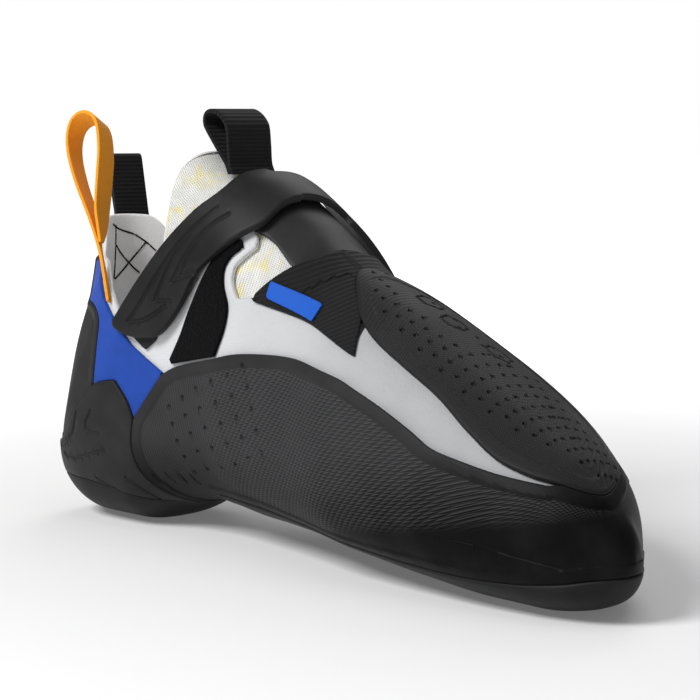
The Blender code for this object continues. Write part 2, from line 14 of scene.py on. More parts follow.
import bpy
import numpy as np
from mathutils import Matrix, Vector


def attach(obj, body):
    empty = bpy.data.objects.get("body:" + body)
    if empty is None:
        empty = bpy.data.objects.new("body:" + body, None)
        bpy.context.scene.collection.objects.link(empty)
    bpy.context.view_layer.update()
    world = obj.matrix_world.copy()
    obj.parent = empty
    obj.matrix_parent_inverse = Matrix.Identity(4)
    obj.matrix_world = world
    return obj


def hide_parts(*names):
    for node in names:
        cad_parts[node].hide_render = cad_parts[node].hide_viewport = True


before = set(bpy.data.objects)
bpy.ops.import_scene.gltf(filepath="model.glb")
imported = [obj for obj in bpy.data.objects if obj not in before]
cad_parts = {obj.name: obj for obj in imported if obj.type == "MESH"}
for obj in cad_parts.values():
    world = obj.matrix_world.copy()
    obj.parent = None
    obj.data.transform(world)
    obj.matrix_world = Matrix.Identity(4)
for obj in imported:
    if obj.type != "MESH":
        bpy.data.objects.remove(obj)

log = logging.getLogger("shoe")
MM = 0.001
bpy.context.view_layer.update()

Array = np.ndarray
Curve = tuple[tuple[float, float], ...]


# The last

LENGTH = 246 * MM
BALL_WIDTH = 82.5 * MM
HEEL_WIDTH = 63 * MM
INSTEP_HEIGHT = 124 * MM
HEEL_HEIGHT = 100 * MM
ARCH_RISE = 9 * MM
TOE_RISE = 17.5 * MM
HEEL_SPOT = 0.142

COLUMNS = (
    "station", "bottom_x", "heel_z", "arch_z", "toe_z", "top_x", "height",
    "inner", "outer", "ridge", "belly", "square_low", "square_high",
)
HEEL_SECTIONS = (
    (0.00, 0.057, 1.00, 0.00, 0, 0.236, 0.226, 0.635, 0.70, 0, 0.62, 2.0, 3.0),
    (0.05, 0.061, 0.78, 0.00, 0, 0.244, 0.371, 0.70, 0.79, 0, 0.56, 2.0, 3.2),
    (0.10, 0.055, 0.54, 0.00, 0, 0.252, 0.565, 0.76, 0.89, 0, 0.48, 2.1, 3.4),
    (0.15, 0.035, 0.28, 0.00, 0, 0.264, 0.774, 0.88, 0.985, 0, 0.42, 2.2, 3.6),
    (0.20, 0.031, 0.08, 0.00, 0, 0.276, 0.935, 0.95, 1.015, 0, 0.36, 2.4, 3.6),
    (0.25, 0.098, 0, 0.00, 0, 0.293, 1.000, 0.985, 1.015, 0, 0.32, 2.7, 3.4),
    (0.30, 0.179, 0, 0.00, 0, 0.317, 0.960, 0.95, 0.985, 0, 0.30, 2.8, 3.2),
    (0.36, 0.252, 0, 0.78, 0, 0.346, 0.867, 0.92, 1.015, 0, 0.32, 2.6, 3.0),
    (0.43, 0.333, 0, 1.00, 0, 0.386, 0.827, 0.95, 1.11, 0.03, 0.36, 2.5, 2.5),
)
BALL_SECTIONS = (
    (0.50, 0.427, 0, 0.75, 0.00, 0.447, 0.780, 0.776, 0.921, 0.048, 0.36, 2.5, 2.1),
    (0.58, 0.528, 0, 0.67, 0.00, 0.528, 0.669, 0.873, 0.994, 0.097, 0.35, 2.6, 1.9),
    (0.66, 0.630, 0, 0.44, 0.00, 0.614, 0.613, 0.985, 1.042, 0.145, 0.36, 2.7, 1.9),
    (0.74, 0.732, 0, 0.17, 0.00, 0.703, 0.544, 0.970, 0.970, 0.218, 0.37, 2.8, 2.0),
    (0.81, 0.821, 0, 0.00, 0.00, 0.793, 0.468, 0.945, 0.752, 0.291, 0.40, 2.8, 2.1),
    (0.87, 0.890, 0, 0.00, 0.00, 0.866, 0.395, 0.897, 0.461, 0.364, 0.42, 2.7, 2.1),
    (0.92, 0.939, 0, 0.00, 0.10, 0.923, 0.318, 0.824, 0.170, 0.412, 0.44, 2.6, 2.1),
    (0.96, 0.976, 0, 0.00, 0.33, 0.963, 0.204, 0.703, -0.145, 0.436, 0.45, 2.4, 2.0),
    (0.985, 0.994, 0, 0.00, 0.67, 0.990, 0.099, 0.582, -0.315, 0.448, 0.48, 2.2, 2.0),
    (1.00, 1.000, 0, 0.00, 1.00, 1.000, 0.000, 0.448, -0.448, 0.448, 0.50, 2.0, 2.0),
)

GAP = 0.3 * MM
UPPER_WALL = 1.8 * MM
RUBBER = 2.0 * MM
SOLE_THICKNESS = 4.0 * MM
SOLE_STEP = 0.4 * MM
SOLE_EDGE_BLEND = 5 * MM
PANEL_THICKNESS = 0.9 * MM
PATCH_STEP = 0.2 * MM
STRIP_THICKNESS = 1.3 * MM
STRAP_THICKNESS = 2.1 * MM
TONGUE_THICKNESS = 1.6 * MM
INSOLE_THICKNESS = 2.0 * MM
LABEL_THICKNESS = 0.5 * MM
WEBBING_THICKNESS = 1.3 * MM
FEATHER_INSET = 12 * MM
INSOLE_INSET = 11.5 * MM
HEEL_ARC = 24 * MM
TOE_ARC = 22 * MM

# Outlines seen from the side: x as a share of LENGTH, z as a share of INSTEP_HEIGHT
BELOW, ABOVE, BEHIND, AHEAD = -0.08, 1.25, -0.06, 1.05
HEEL_CUP_TOP = ((BEHIND, 0.18), (0.076, 0.21), (0.117, 0.287), (0.158, 0.364))
HEEL_CUP_PEAK = ((0.158, 0.364), (0.169, 0.376), (0.202, 0.387))
HEEL_CUP_SLOPE = ((0.202, 0.387), (0.223, 0.337), (0.234, 0.294))
HEEL_CUP_FRONT = ((0.234, 0.294), (0.229, 0.234), (0.232, 0.181), (0.242, 0.126), (0.262, 0.060))
HEEL_SOLE_EDGE = ((BEHIND, 0.109), (0.124, 0.111), (0.187, 0.095), (0.262, 0.060))
ARCH_FRONT = 0.345
BALL_SOLE_EDGE = (
    (ARCH_FRONT, 0.112), (0.427, 0.108), (0.528, 0.094), (0.630, 0.078), (0.732, 0.069),
    (0.821, 0.066), (0.890, 0.073), (0.939, 0.085), (0.978, 0.100), (AHEAD, 0.108),
)
PANEL_BACK = (
    (0.158, 0.364), (0.161, 0.415), (0.166, 0.485), (0.168, 0.545), (0.150, 0.575),
    (0.118, 0.592), (0.112, 0.684),
)
PANEL_TOP = ((0.112, 0.684), (0.140, 0.680), (0.151, 0.655), (0.200, 0.541), (0.233, 0.478))
PANEL_FRONT = ((0.233, 0.478), (0.258, 0.448), (0.287, 0.416))
PANEL_LOW = ((0.287, 0.416), (0.264, 0.365), (0.234, 0.294))
RAND_TOP = (
    (0.287, 0.416), (0.315, 0.440), (0.378, 0.467), (0.425, 0.488), (0.478, 0.498),
    (0.532, 0.499), (0.577, 0.486), (0.618, 0.470), (0.645, 0.451), (0.687, 0.419),
    (0.737, 0.375), (0.768, 0.345), (0.813, 0.324), (0.860, 0.306), (0.915, 0.292),
)
PATCH_EDGE = (
    (0.524, 0.742), (0.553, 0.689), (0.575, 0.656), (0.608, 0.602), (0.641, 0.558),
    (0.698, 0.502), (0.753, 0.449), (0.806, 0.385), (0.851, 0.335), (0.889, 0.310),
    (0.930, 0.292), (0.980, 0.242),
)
RAND_TIP = ((0.915, 0.292), (0.930, 0.292), (0.980, 0.242))
GORE_LOW = ((0.439, 0.621), (0.528, 0.587), (0.583, 0.552), (0.628, 0.520))
GORE_FRONT = ((0.628, 0.520), (0.608, 0.602), (0.575, 0.656), (0.553, 0.689), (0.524, 0.742))
GORE_REAR = (
    (0.512, ABOVE), (0.507, 0.734), (0.489, 0.713), (0.464, 0.672), (0.439, 0.621),
)
COLLAR_EDGE = (
    (BEHIND, 0.796), (0.068, 0.790), (0.082, 0.772), (0.091, 0.742), (0.103, 0.706),
    (0.125, 0.696), (0.145, 0.690),
)
COLLAR_NOTCH = (
    (0.145, 0.690), (0.170, 0.655), (0.198, 0.580), (0.219, 0.530), (0.240, 0.508),
    (0.268, 0.516),
)
COLLAR_QUARTER = ((0.268, 0.516), (0.309, 0.580), (0.341, 0.661), (0.362, 0.730), (0.388, 0.790))
QUARTER_TOP = ((0.388, 0.790), (0.405, 0.795), (0.420, 0.780), (0.426, 0.752))
QUARTER_FRONT = ((0.426, 0.752), (0.411, 0.722), (0.401, 0.697), (0.402, 0.660), (0.414, 0.622))
THROAT_EDGE = ((0.414, 0.622), (0.439, 0.629), (0.528, 0.605), (0.583, 0.573), (0.618, 0.565))
THROAT_FRONT = ((0.618, 0.565), (0.612, 0.625), (0.585, 0.670), (0.553, ABOVE))
TONGUE_REAR = ((0.262, 0.440), (0.270, 0.700), (0.278, 0.840), (0.290, ABOVE))
TONGUE_FRONT = ((0.600, ABOVE), (0.655, 0.560), (0.640, 0.430))
TONGUE_LOW = ((0.640, 0.430), (0.440, 0.500), (0.340, 0.480), (0.262, 0.440))
STRAP_UP = (
    (0.206, 0.540), (0.218, 0.568), (0.287, 0.737), (0.326, 0.821), (0.356, 0.885),
    (0.370, ABOVE),
)
STRAP_DOWN = (
    (0.440, ABOVE), (0.430, 0.806), (0.405, 0.765), (0.381, 0.728), (0.348, 0.669),
    (0.323, 0.585), (0.286, 0.514), (0.256, 0.502), (0.228, 0.508), (0.209, 0.524),
    (0.206, 0.540),
)
STRAP_FAR_UP = ((0.370, ABOVE), (0.370, 0.890), (0.385, 0.780), (0.395, 0.660), (0.405, 0.535))
STRAP_FAR_DOWN = (
    (0.480, 0.535), (0.475, 0.600), (0.466, 0.680), (0.455, 0.740), (0.443, 0.783),
    (0.430, 0.810), (0.440, ABOVE),
)
HOOK_PAD = ((0.226, 0.515), (0.226, 0.580), (0.282, 0.600), (0.276, 0.500), (0.256, 0.472),
            (0.226, 0.515))
PILE_REAR = ((0.294, 0.440), (0.319, 0.520), (0.331, 0.572), (0.362, 0.694), (0.386, 0.762))
PILE_FRONT = (
    (0.408, 0.762), (0.411, 0.748), (0.396, 0.720), (0.389, 0.690), (0.392, 0.650),
    (0.404, 0.600), (0.402, 0.545), (0.387, 0.476),
)
PILE_LOW = ((0.387, 0.476), (0.340, 0.458), (0.294, 0.440))
LABEL = ((0.467, 0.667), (0.467, 0.628), (0.545, 0.583), (0.549, 0.622), (0.467, 0.667))


def smooth_curve(xs: Array, ys: Array, at: Array) -> Array:
    """Reads a smooth curve through points that never overshoots them.

    Args:
        xs: The points' rising places.
        ys: The points' values.
        at: The places to read.

    Returns:
        The values there.
    """
    step = np.diff(xs)
    slope = np.diff(ys) / step
    before, after = slope[:-1], slope[1:]
    turns = before * after <= 0
    weight_a, weight_b = 2 * step[1:] + step[:-1], step[1:] + 2 * step[:-1]
    mean = (weight_a + weight_b) / (
        weight_a / np.where(turns, 1, before) + weight_b / np.where(turns, 1, after))
    tangent = np.r_[slope[0], np.where(turns, 0, mean), slope[-1]]
    k = np.clip(np.searchsorted(xs, at, side="right") - 1, 0, len(xs) - 2)
    u = (at - xs[k]) / step[k]
    start = (1 + 2 * u) * (1 - u) ** 2 * ys[k] + u * (1 - u) ** 2 * step[k] * tangent[k]
    end = u**2 * (3 - 2 * u) * ys[k + 1] + u**2 * (u - 1) * step[k] * tangent[k + 1]
    return start + end


class Last:
    """The shoe's outside as one smooth skin over stations s and turns t.

    s runs from 0 at the heel's top to 1 at the toe's tip. t is 0 under the foot and up the
    back of the heel, -1 on the ridge by the inner side and 1 on it by the outer side.
    """

    stations = 401
    half = 120
    arc_steps = 90

    def __init__(self) -> None:
        """Works out the sections at the stations."""
        self.s = np.linspace(0, 1, self.stations)
        self.values = self._sections(self.s)
        self.points = self._skin()
        self.normals = self._normals()
        step_t = np.linalg.norm(np.diff(self.points, axis=1), axis=2)
        self.girth = np.pad(np.cumsum(step_t, axis=1), ((0, 0), (1, 0)))
        self.girth -= self.girth[:, self.half:self.half + 1]
        step_s = np.linalg.norm(np.diff(self.points, axis=0), axis=2)
        self.reach = np.pad(np.cumsum(step_s, axis=0), ((1, 0), (0, 0)))

    @staticmethod
    def _sections(s: Array) -> dict[str, Array]:
        """Every column of the section tables at stations s, in metres."""
        rows = []
        for table, width in ((HEEL_SECTIONS, HEEL_WIDTH), (BALL_SECTIONS, BALL_WIDTH)):
            for line in table:
                row = dict(zip(COLUMNS, line))
                low = row["heel_z"] * HEEL_HEIGHT + row["arch_z"] * ARCH_RISE
                low += row["toe_z"] * TOE_RISE
                half = width / 2
                rows.append({
                    "station": row["station"], "low_z": low,
                    "low_x": (row["bottom_x"] - HEEL_SPOT) * LENGTH,
                    "top_x": (row["top_x"] - HEEL_SPOT) * LENGTH,
                    "top_z": low + row["height"] * INSTEP_HEIGHT,
                    "inner": row["inner"] * half, "outer": row["outer"] * half,
                    "ridge": row["ridge"] * half, "belly": row["belly"],
                    "square_low": row["square_low"], "square_high": row["square_high"],
                })
        known = np.array([row["station"] for row in rows])
        return {name: smooth_curve(known, np.array([row[name] for row in rows]), s)
                for name in rows[0] if name != "station"}

    def _half_section(self, edge: float, middle: float, ridge: float, shape: Sequence[float],
                      rise: float) -> tuple[Array, Array]:
        """One side of a section from its bottom to its ridge, at even steps of arc."""
        belly, low_power, high_power = shape
        angle = np.linspace(0, np.pi / 2, self.arc_steps)
        sine, cosine = np.sin(angle), np.clip(np.cos(angle), 0, 1)
        y = np.r_[middle + (edge - middle) * sine ** (2 / low_power),
                  (ridge + (edge - ridge) * cosine ** (2 / high_power))[1:]]
        r = np.r_[belly * (1 - cosine ** (2 / low_power)),
                  (belly + (1 - belly) * sine ** (2 / high_power))[1:]]
        arc = np.r_[0, np.cumsum(np.hypot(np.diff(y), np.diff(r) * rise))]
        even = np.linspace(0, max(arc[-1], 1e-9), self.half + 1)
        return np.interp(even, arc, y), np.interp(even, arc, r)

    def _skin(self) -> Array:
        """The skin's points on a fine grid of stations and turns."""
        v = self.values
        grid = np.zeros((self.stations, 2 * self.half + 1, 3))
        for i in range(self.stations):
            low = np.array([v["low_x"][i], v["low_z"][i]])
            top = np.array([v["top_x"][i], v["top_z"][i]])
            shape = [v[name][i] for name in ("belly", "square_low", "square_high")]
            middle = (v["inner"][i] - v["outer"][i]) / 2
            rise = float(np.hypot(*(top - low)))
            y_in, r_in = self._half_section(v["inner"][i], middle, v["ridge"][i], shape, rise)
            y_out, r_out = self._half_section(-v["outer"][i], middle, v["ridge"][i], shape, rise)
            r = np.r_[r_in[::-1], r_out[1:]]
            line = low + (top - low) * r[:, None]
            grid[i, :, 0], grid[i, :, 2] = line[:, 0], line[:, 1]
            grid[i, :, 1] = -np.r_[y_in[::-1], y_out[1:]]
        return grid

    def _normals(self) -> Array:
        """Outward directions on the same grid."""
        along = np.gradient(self.points, axis=0)
        wrapped = np.concatenate([self.points[:, -2:-1], self.points, self.points[:, 1:2]], axis=1)
        round_ = (wrapped[:, 2:] - wrapped[:, :-2]) / 2
        normal = np.cross(along, round_)
        normal[-1] = normal[-2].mean(axis=0)
        length = np.linalg.norm(normal, axis=2, keepdims=True)
        normal = normal / np.maximum(length, 1e-15)
        side = normal[self.stations // 2, self.half // 2]
        return normal if side[1] < 0 else -normal

    def _read(self, grid: Array, s: Array, t: Array) -> Array:
        """Bilinear reading of a grid at stations and turns."""
        a = np.clip(s, 0, 1) * (self.stations - 1)
        b = (t + 1) * self.half
        i = np.clip(a.astype(int), 0, self.stations - 2)
        j = np.clip(b.astype(int), 0, 2 * self.half - 1)
        u, w = (a - i), (b - j)
        if grid.ndim == 3:
            u, w = u[:, None], w[:, None]
        return ((grid[i, j] * (1 - w) + grid[i, j + 1] * w) * (1 - u)
                + (grid[i + 1, j] * (1 - w) + grid[i + 1, j + 1] * w) * u)

    @staticmethod
    def wrap(t: Array) -> Array:
        """Turns beyond the ridge brought back into -1 to 1."""
        return (t + 1) % 2 - 1

    def at(self, st: Array, depth: Array | float = 0.0) -> Array:
        """Points at stations and turns, this deep under the skin."""
        s, t = st[:, 0], self.wrap(st[:, 1])
        depth = np.broadcast_to(depth, len(s))[:, None]
        return self._read(self.points, s, t) - self.normal(st) * depth

    def normal(self, st: Array) -> Array:
        """Outward directions at stations and turns."""
        n = self._read(self.normals, st[:, 0], self.wrap(st[:, 1]))
        return n / np.maximum(np.linalg.norm(n, axis=1, keepdims=True), 1e-12)

    def cloth_uv(self, st: Array) -> Array:
        """Where each point lies on the flat pattern, in metres along and round the last."""
        t = self.wrap(st[:, 1])
        past = st[:, 1] > 1
        v = self._read(self.girth, st[:, 0], t)
        whole = self._read(self.girth, st[:, 0], np.ones(len(st)))
        whole -= self._read(self.girth, st[:, 0], -np.ones(len(st)))
        return np.column_stack([self._read(self.reach, st[:, 0], t), v + np.where(past, whole, 0)])

    def cover(self, points: Array) -> Array:
        """How deep the upper lies under the skin at points of the skin."""
        edge = np.array(HEEL_SOLE_EDGE + BALL_SOLE_EDGE)
        x, z = (edge[:, 0] - HEEL_SPOT) * LENGTH, edge[:, 1] * INSTEP_HEIGHT
        share = np.clip((points[:, 2] - np.interp(points[:, 0], x, z)) / SOLE_EDGE_BLEND, 0, 1)
        return GAP + SOLE_THICKNESS + (RUBBER - SOLE_THICKNESS) * share


LAST = Last()


# Patterns cut on the last

class Side(Enum):
    """Which side of the shoe an outline cuts."""

    BOTH = 0
    INNER = -1
    OUTER = 1


def spline(points: Sequence[Sequence[float]], steps: int = 8) -> Array:
    """A smooth open curve through points, as many short lines.

    Args:
        points: The points it passes through.
        steps: Lines between two points.

    Returns:
        Its points, one row each.
    """
    p = np.array(points, float)
    if len(p) < 3:
        return p
    p = np.vstack([2 * p[0] - p[1], p, 2 * p[-1] - p[-2]])
    out = []
    for a, b, c, d in zip(p, p[1:], p[2:], p[3:]):
        scale = np.linalg.norm(c - b)
        m1 = (c - a) / max(np.linalg.norm(c - a), 1e-9) * scale
        m2 = (d - b) / max(np.linalg.norm(d - b), 1e-9) * scale
        u = np.linspace(0, 1, steps, endpoint=False)[:, None]
        out.append((2 * u**3 - 3 * u**2 + 1) * b + (u**3 - 2 * u**2 + u) * m1
                   + (3 * u**2 - 2 * u**3) * c + (u**3 - u**2) * m2)
    return np.vstack(out + [p[-2:-1]])


def nearest_on(lines: Array, places: Array) -> tuple[Array, Array]:
    """The distance from each place to a chain of lines, and the step to its nearest point."""
    best = np.full(len(places), np.inf)
    step = np.zeros_like(places)
    for a, b in zip(lines[:-1], lines[1:]):
        along = b - a
        length = along @ along
        if length < 1e-16:
            continue
        share = np.clip((places - a) @ along / length, 0, 1)
        offset = a + share[:, None] * along - places
        distance = np.einsum("ij,ij->i", offset, offset)
        closer = distance < best
        best[closer], step[closer] = distance[closer], offset[closer]
    return np.sqrt(best), step


@dataclass(frozen=True)
class Outline:
    """A closed outline seen from the side, made of smooth curves that meet in corners."""

    curves: tuple[Curve, ...]
    side: Side = Side.BOTH

    def loop(self) -> Array:
        """Its points in metres."""
        parts = [spline(curve) for curve in self.curves]
        flat = np.vstack(parts + [parts[0][:1]])
        return np.column_stack([(flat[:, 0] - HEEL_SPOT) * LENGTH, flat[:, 1] * INSTEP_HEIGHT])

    def inside(self, st: Array, points: Array) -> Array:
        """How far inside the outline each place lies along the surface, below 0 outside."""
        loop, flat = self.loop(), points[:, [0, 2]]
        distance, step = nearest_on(loop, flat)
        crossings = np.zeros(len(flat), int)
        for a, b in zip(loop[:-1], loop[1:]):
            spans = (a[1] > flat[:, 1]) != (b[1] > flat[:, 1])
            rise = b[1] - a[1] if abs(b[1] - a[1]) > 1e-15 else 1e-15
            crossings += spans & (flat[:, 0] < a[0] + (flat[:, 1] - a[1]) / rise * (b[0] - a[0]))
        normal = LAST.normal(st)
        slope = np.einsum("ij,ij->i", step, normal[:, [0, 2]]) / np.maximum(distance, 1e-9)
        distance = distance / np.sqrt(np.clip(1 - slope**2, 0.12, 1))
        signed = np.where(crossings % 2 == 1, distance, -distance)
        if self.side is Side.BOTH:
            return signed
        turn = LAST.wrap(st[:, 1]) * self.side.value
        return np.where(turn >= 0, signed, -0.01)


class Sheet:
    """A patch of the last as triangles on stations and turns, with fields for each point."""

    def __init__(self, stations: tuple[float, float], turns: tuple[float, float],
                 cell: float = 1.35 * MM) -> None:
        """Adds a grid over the stations and turns, with cells about this large."""
        across = max(4, round((stations[1] - stations[0]) * 0.27 / cell))
        round_ = max(4, round((turns[1] - turns[0]) * 0.098 / cell))
        bpy.ops.mesh.primitive_grid_add(x_subdivisions=across, y_subdivisions=round_, size=1)
        grid = bpy.context.object
        flat = np.zeros(len(grid.data.vertices) * 3)
        grid.data.vertices.foreach_get("co", flat)
        share = flat.reshape(-1, 3)[:, :2] + 0.5
        grid.data.calc_loop_triangles()
        tri = np.zeros(len(grid.data.loop_triangles) * 3, int)
        grid.data.loop_triangles.foreach_get("vertices", tri)
        bpy.data.objects.remove(grid)
        low = np.array([stations[0], turns[0]])
        high = np.array([stations[1], turns[1]])
        self.st = low + share * (high - low)
        self.tri = tri.reshape(-1, 3)
        self.fields: dict[str, Array] = {}
        rim = (share < 1e-6) | (share > 1 - 1e-6)
        self.fixed = rim.any(axis=1)

    def skin(self) -> Array:
        """Where its points lie on the skin."""
        return LAST.at(self.st)

    def _edges(self) -> tuple[Array, Array]:
        """The sheet's edges as pairs, and each triangle's three edges."""
        pairs = np.concatenate([self.tri[:, [0, 1]], self.tri[:, [1, 2]], self.tri[:, [2, 0]]])
        pairs.sort(axis=1)
        key, which = np.unique(pairs[:, 0] * len(self.st) + pairs[:, 1], return_inverse=True)
        return np.column_stack(np.divmod(key, len(self.st))), which.reshape(3, -1).T

    def _split(self, edges: Array, which: Array, pick: Array, share: Array) -> None:
        """Puts a point on each picked edge and divides the triangles to match."""
        a, b = edges[pick].T
        w = share[pick]

        def between(values: Array) -> Array:
            """The values with those of the new points, on the split edges, after them."""
            ratio = w[:, None] if values.ndim == 2 else w
            return np.concatenate([values, values[a] * (1 - ratio) + values[b] * ratio])

        number = np.full(len(edges), -1)
        number[pick] = len(self.st) + np.arange(pick.sum())
        self.st = between(self.st)
        self.fields = {name: between(values) for name, values in self.fields.items()}
        mids = number[which]
        count = (mids >= 0).sum(axis=1)
        turn = np.where(count == 2, (np.argmin(mids, axis=1) + 1) % 3, np.argmax(mids >= 0, axis=1))
        order = (np.arange(3) + turn[:, None]) % 3
        tri = np.take_along_axis(self.tri, order, axis=1)
        mids = np.take_along_axis(mids, order, axis=1)
        (p, q, r), (m, n, o) = tri.T, mids.T
        parts = [tri[count == 0]]
        for number_, pattern in (
            (1, ((p, m, r), (m, q, r))),
            (2, ((m, q, n), (p, m, n), (p, n, r))),
            (3, ((p, m, o), (m, q, n), (o, n, r), (m, n, o))),
        ):
            parts += [np.column_stack(corner)[count == number_] for corner in pattern]
        self.tri = np.vstack(parts)

    def refine(self, near: Callable[[Array], Array], length: float, rounds: int = 4) -> None:
        """Halves edges longer than this wherever near says so of their middles."""
        for _ in range(rounds):
            edges, which = self._edges()
            ends = self.skin()[edges]
            size = np.linalg.norm(ends[:, 0] - ends[:, 1], axis=1)
            pick = (size > length) & near(ends.mean(axis=1))
            if not pick.any():
                return
            count = len(self.st)
            self._split(edges, which, pick, np.full(len(edges), 0.5))
            self.fixed = np.r_[self.fixed, np.zeros(len(self.st) - count, bool)]

    def cut(self, name: str, level: float) -> None:
        """Runs a line of points along a field's level."""
        f = self.fields[name] - level
        edges, _ = self._edges()
        a, b = edges.T
        cross = f[a] * f[b] < 0
        share = np.where(cross, f[a] / np.where(cross, f[a] - f[b], 1), 0.5)
        for start, end, ratio in ((a, b, share), (b, a, 1 - share)):
            move = cross & (ratio < 0.22) & ~self.fixed[start]
            place, target, w = start[move], end[move], ratio[move]
            first = np.unique(place, return_index=True)[1]
            place, target, w = place[first], target[first], w[first]
            self.st[place] += (self.st[target] - self.st[place]) * w[:, None]
            for values in self.fields.values():
                values[place] += (values[target] - values[place]) * w
            f[place] = 0
            self.fields[name][place] = level
            self.fixed[place] = True
            cross &= (f[a] * f[b] < 0)
        edges, which = self._edges()
        a, b = edges.T
        cross = f[a] * f[b] < 0
        share = np.where(cross, f[a] / np.where(cross, f[a] - f[b], 1), 0.5)
        count = len(self.st)
        self._split(edges, which, cross, share)
        self.fields[name][count:] = level
        self.fixed = np.r_[self.fixed, np.ones(len(self.st) - count, bool)]

    def keep(self, name: str) -> None:
        """Drops what lies outside the field's zero line, and the points it leaves unused."""
        self.tri = self.tri[self.fields[name][self.tri].mean(axis=1) > 0]
        used, renumbered = np.unique(self.tri, return_inverse=True)
        self.tri = renumbered.reshape(-1, 3)
        self.st, self.fixed = self.st[used], self.fixed[used]
        self.fields = {key: values[used] for key, values in self.fields.items()}


@dataclass(frozen=True)
class Groove:
    """A line pressed into a layer, or raised on it where the depth is below 0."""

    lines: tuple[Curve, ...]
    width: float = 0.5 * MM
    depth: float = 0.35 * MM
    mirrored: bool = True

    def shape(self, sheet: Sheet) -> Array:
        """How far each point of the sheet is pressed in."""
        chains = []
        for line in self.lines:
            path = spline(line, 6)
            for side in ((1, -1) if self.mirrored else (1,)):
                chains.append(LAST.at(path * [1, side]))

        def distance(points: Array) -> Array:
            """How far each point lies from the nearest line or place."""
            return np.min([nearest_on(chain, points)[0] for chain in chains], axis=0)

        sheet.refine(lambda points: distance(points) < 1.6 * self.width, 0.55 * self.width, 3)
        away = distance(sheet.skin())
        return self.depth * np.clip(1 - (away / self.width) ** 2, 0, 1) ** 1.5


@dataclass(frozen=True)
class Pits:
    """Small round dimples pressed into a layer."""

    places: Curve
    radius: float = 0.95 * MM
    depth: float = 0.8 * MM
    mirrored: bool = True

    def shape(self, sheet: Sheet) -> Array:
        """How far each point of the sheet is pressed in."""
        places = np.array(self.places)
        if self.mirrored:
            places = np.vstack([places, places * [1, -1]])
        centres = LAST.at(places)

        def distance(points: Array) -> Array:
            """How far each point lies from the nearest line or place."""
            best = np.full(len(points), np.inf)
            for centre in centres:
                best = np.minimum(best, np.linalg.norm(points - centre, axis=1))
            return best

        sheet.refine(lambda points: distance(points) < 1.7 * self.radius, 0.42 * self.radius, 4)
        away = distance(sheet.skin()) / self.radius
        return self.depth * (1 - np.clip((away - 0.35) / 0.65, 0, 1) ** 2)


@dataclass(frozen=True)
class Lip:
    """A border left proud of the rest: past this far from the edge the face drops."""

    width: float
    drop: float = 0.35 * MM
    ramp: float = 0.5 * MM

    def shape(self, sheet: Sheet) -> Array:
        """How far each point of the sheet is pressed in."""
        sheet.cut("inside", self.width)
        sheet.cut("inside", self.width + self.ramp)
        share = np.clip((sheet.fields["inside"] - self.width) / self.ramp, 0, 1)
        return self.drop * share * share * (3 - 2 * share)


Relief = Groove | Pits | Lip


def clear_selection() -> None:
    """Leaves nothing selected."""
    for thing in bpy.context.selected_objects:
        thing.select_set(False)
    bpy.context.view_layer.objects.active = None


def only(thing: bpy.types.Object) -> None:
    """Makes this the one selected and active object."""
    clear_selection()
    thing.select_set(True)
    bpy.context.view_layer.objects.active = thing


def finish_piece(piece: bpy.types.Object, look: "Finish", nodes: Sequence[str] = (),
                 smooth: float = 40) -> bpy.types.Object:
    """Shades a piece, dresses it and seats it on the part's body.

    Args:
        piece: The mesh object, in place.
        look: Its finish.
        nodes: The CAD nodes that it stands for.
        smooth: Edges sharper than this many degrees stay crisp.

    Returns:
        The same object.
    """
    only(piece)
    bpy.ops.object.shade_smooth_by_angle(angle=math.radians(smooth))
    look.dress(piece)
    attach(piece, "root")
    if nodes:
        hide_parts(*nodes)
    clear_selection()
    log.info("%s: %d faces", piece.name, len(piece.data.polygons))
    return piece


@dataclass(frozen=True)
class Seam:
    """Sewn thread: the places within half its thickness of some lines, in short stitches."""

    lines: tuple[Curve, ...]
    thickness: float = 0.55 * MM
    stitch: float = 2.4 * MM
    hole: float = 0.45 * MM

    def __call__(self, sheet: "Sheet") -> Array:
        """How far inside the thread each point of the sheet lies."""
        chains = [LAST.at(spline(line, 5)) for line in self.lines]

        def distance(points: Array) -> Array:
            """How far each point lies from the nearest line or place."""
            return np.min([nearest_on(chain, points)[0] for chain in chains], axis=0)

        sheet.refine(lambda points: distance(points) < 1.5 * MM, 0.4 * self.thickness, 3)
        skin = sheet.skin()
        gap = np.full(len(skin), np.inf)
        for chain in chains:
            away, step = nearest_on(chain, skin)
            length = np.r_[0, np.cumsum(np.linalg.norm(np.diff(chain, axis=0), axis=1))]
            foot = np.argmin(np.linalg.norm((skin - step)[:, None] - chain[None], axis=2), axis=1)
            run = length[foot] + np.linalg.norm((skin - step) - chain[foot], axis=1)
            count = max(1, round(length[-1] / self.stitch))
            share = np.abs(((run / length[-1] * count) % 1) - 0.5)
            thin = np.clip((share - 0.5 + self.hole / self.stitch) / (self.hole / self.stitch), 0, 1)
            gap = np.minimum(gap, away + thin * 0.25 * self.thickness)
        return self.thickness / 2 - gap


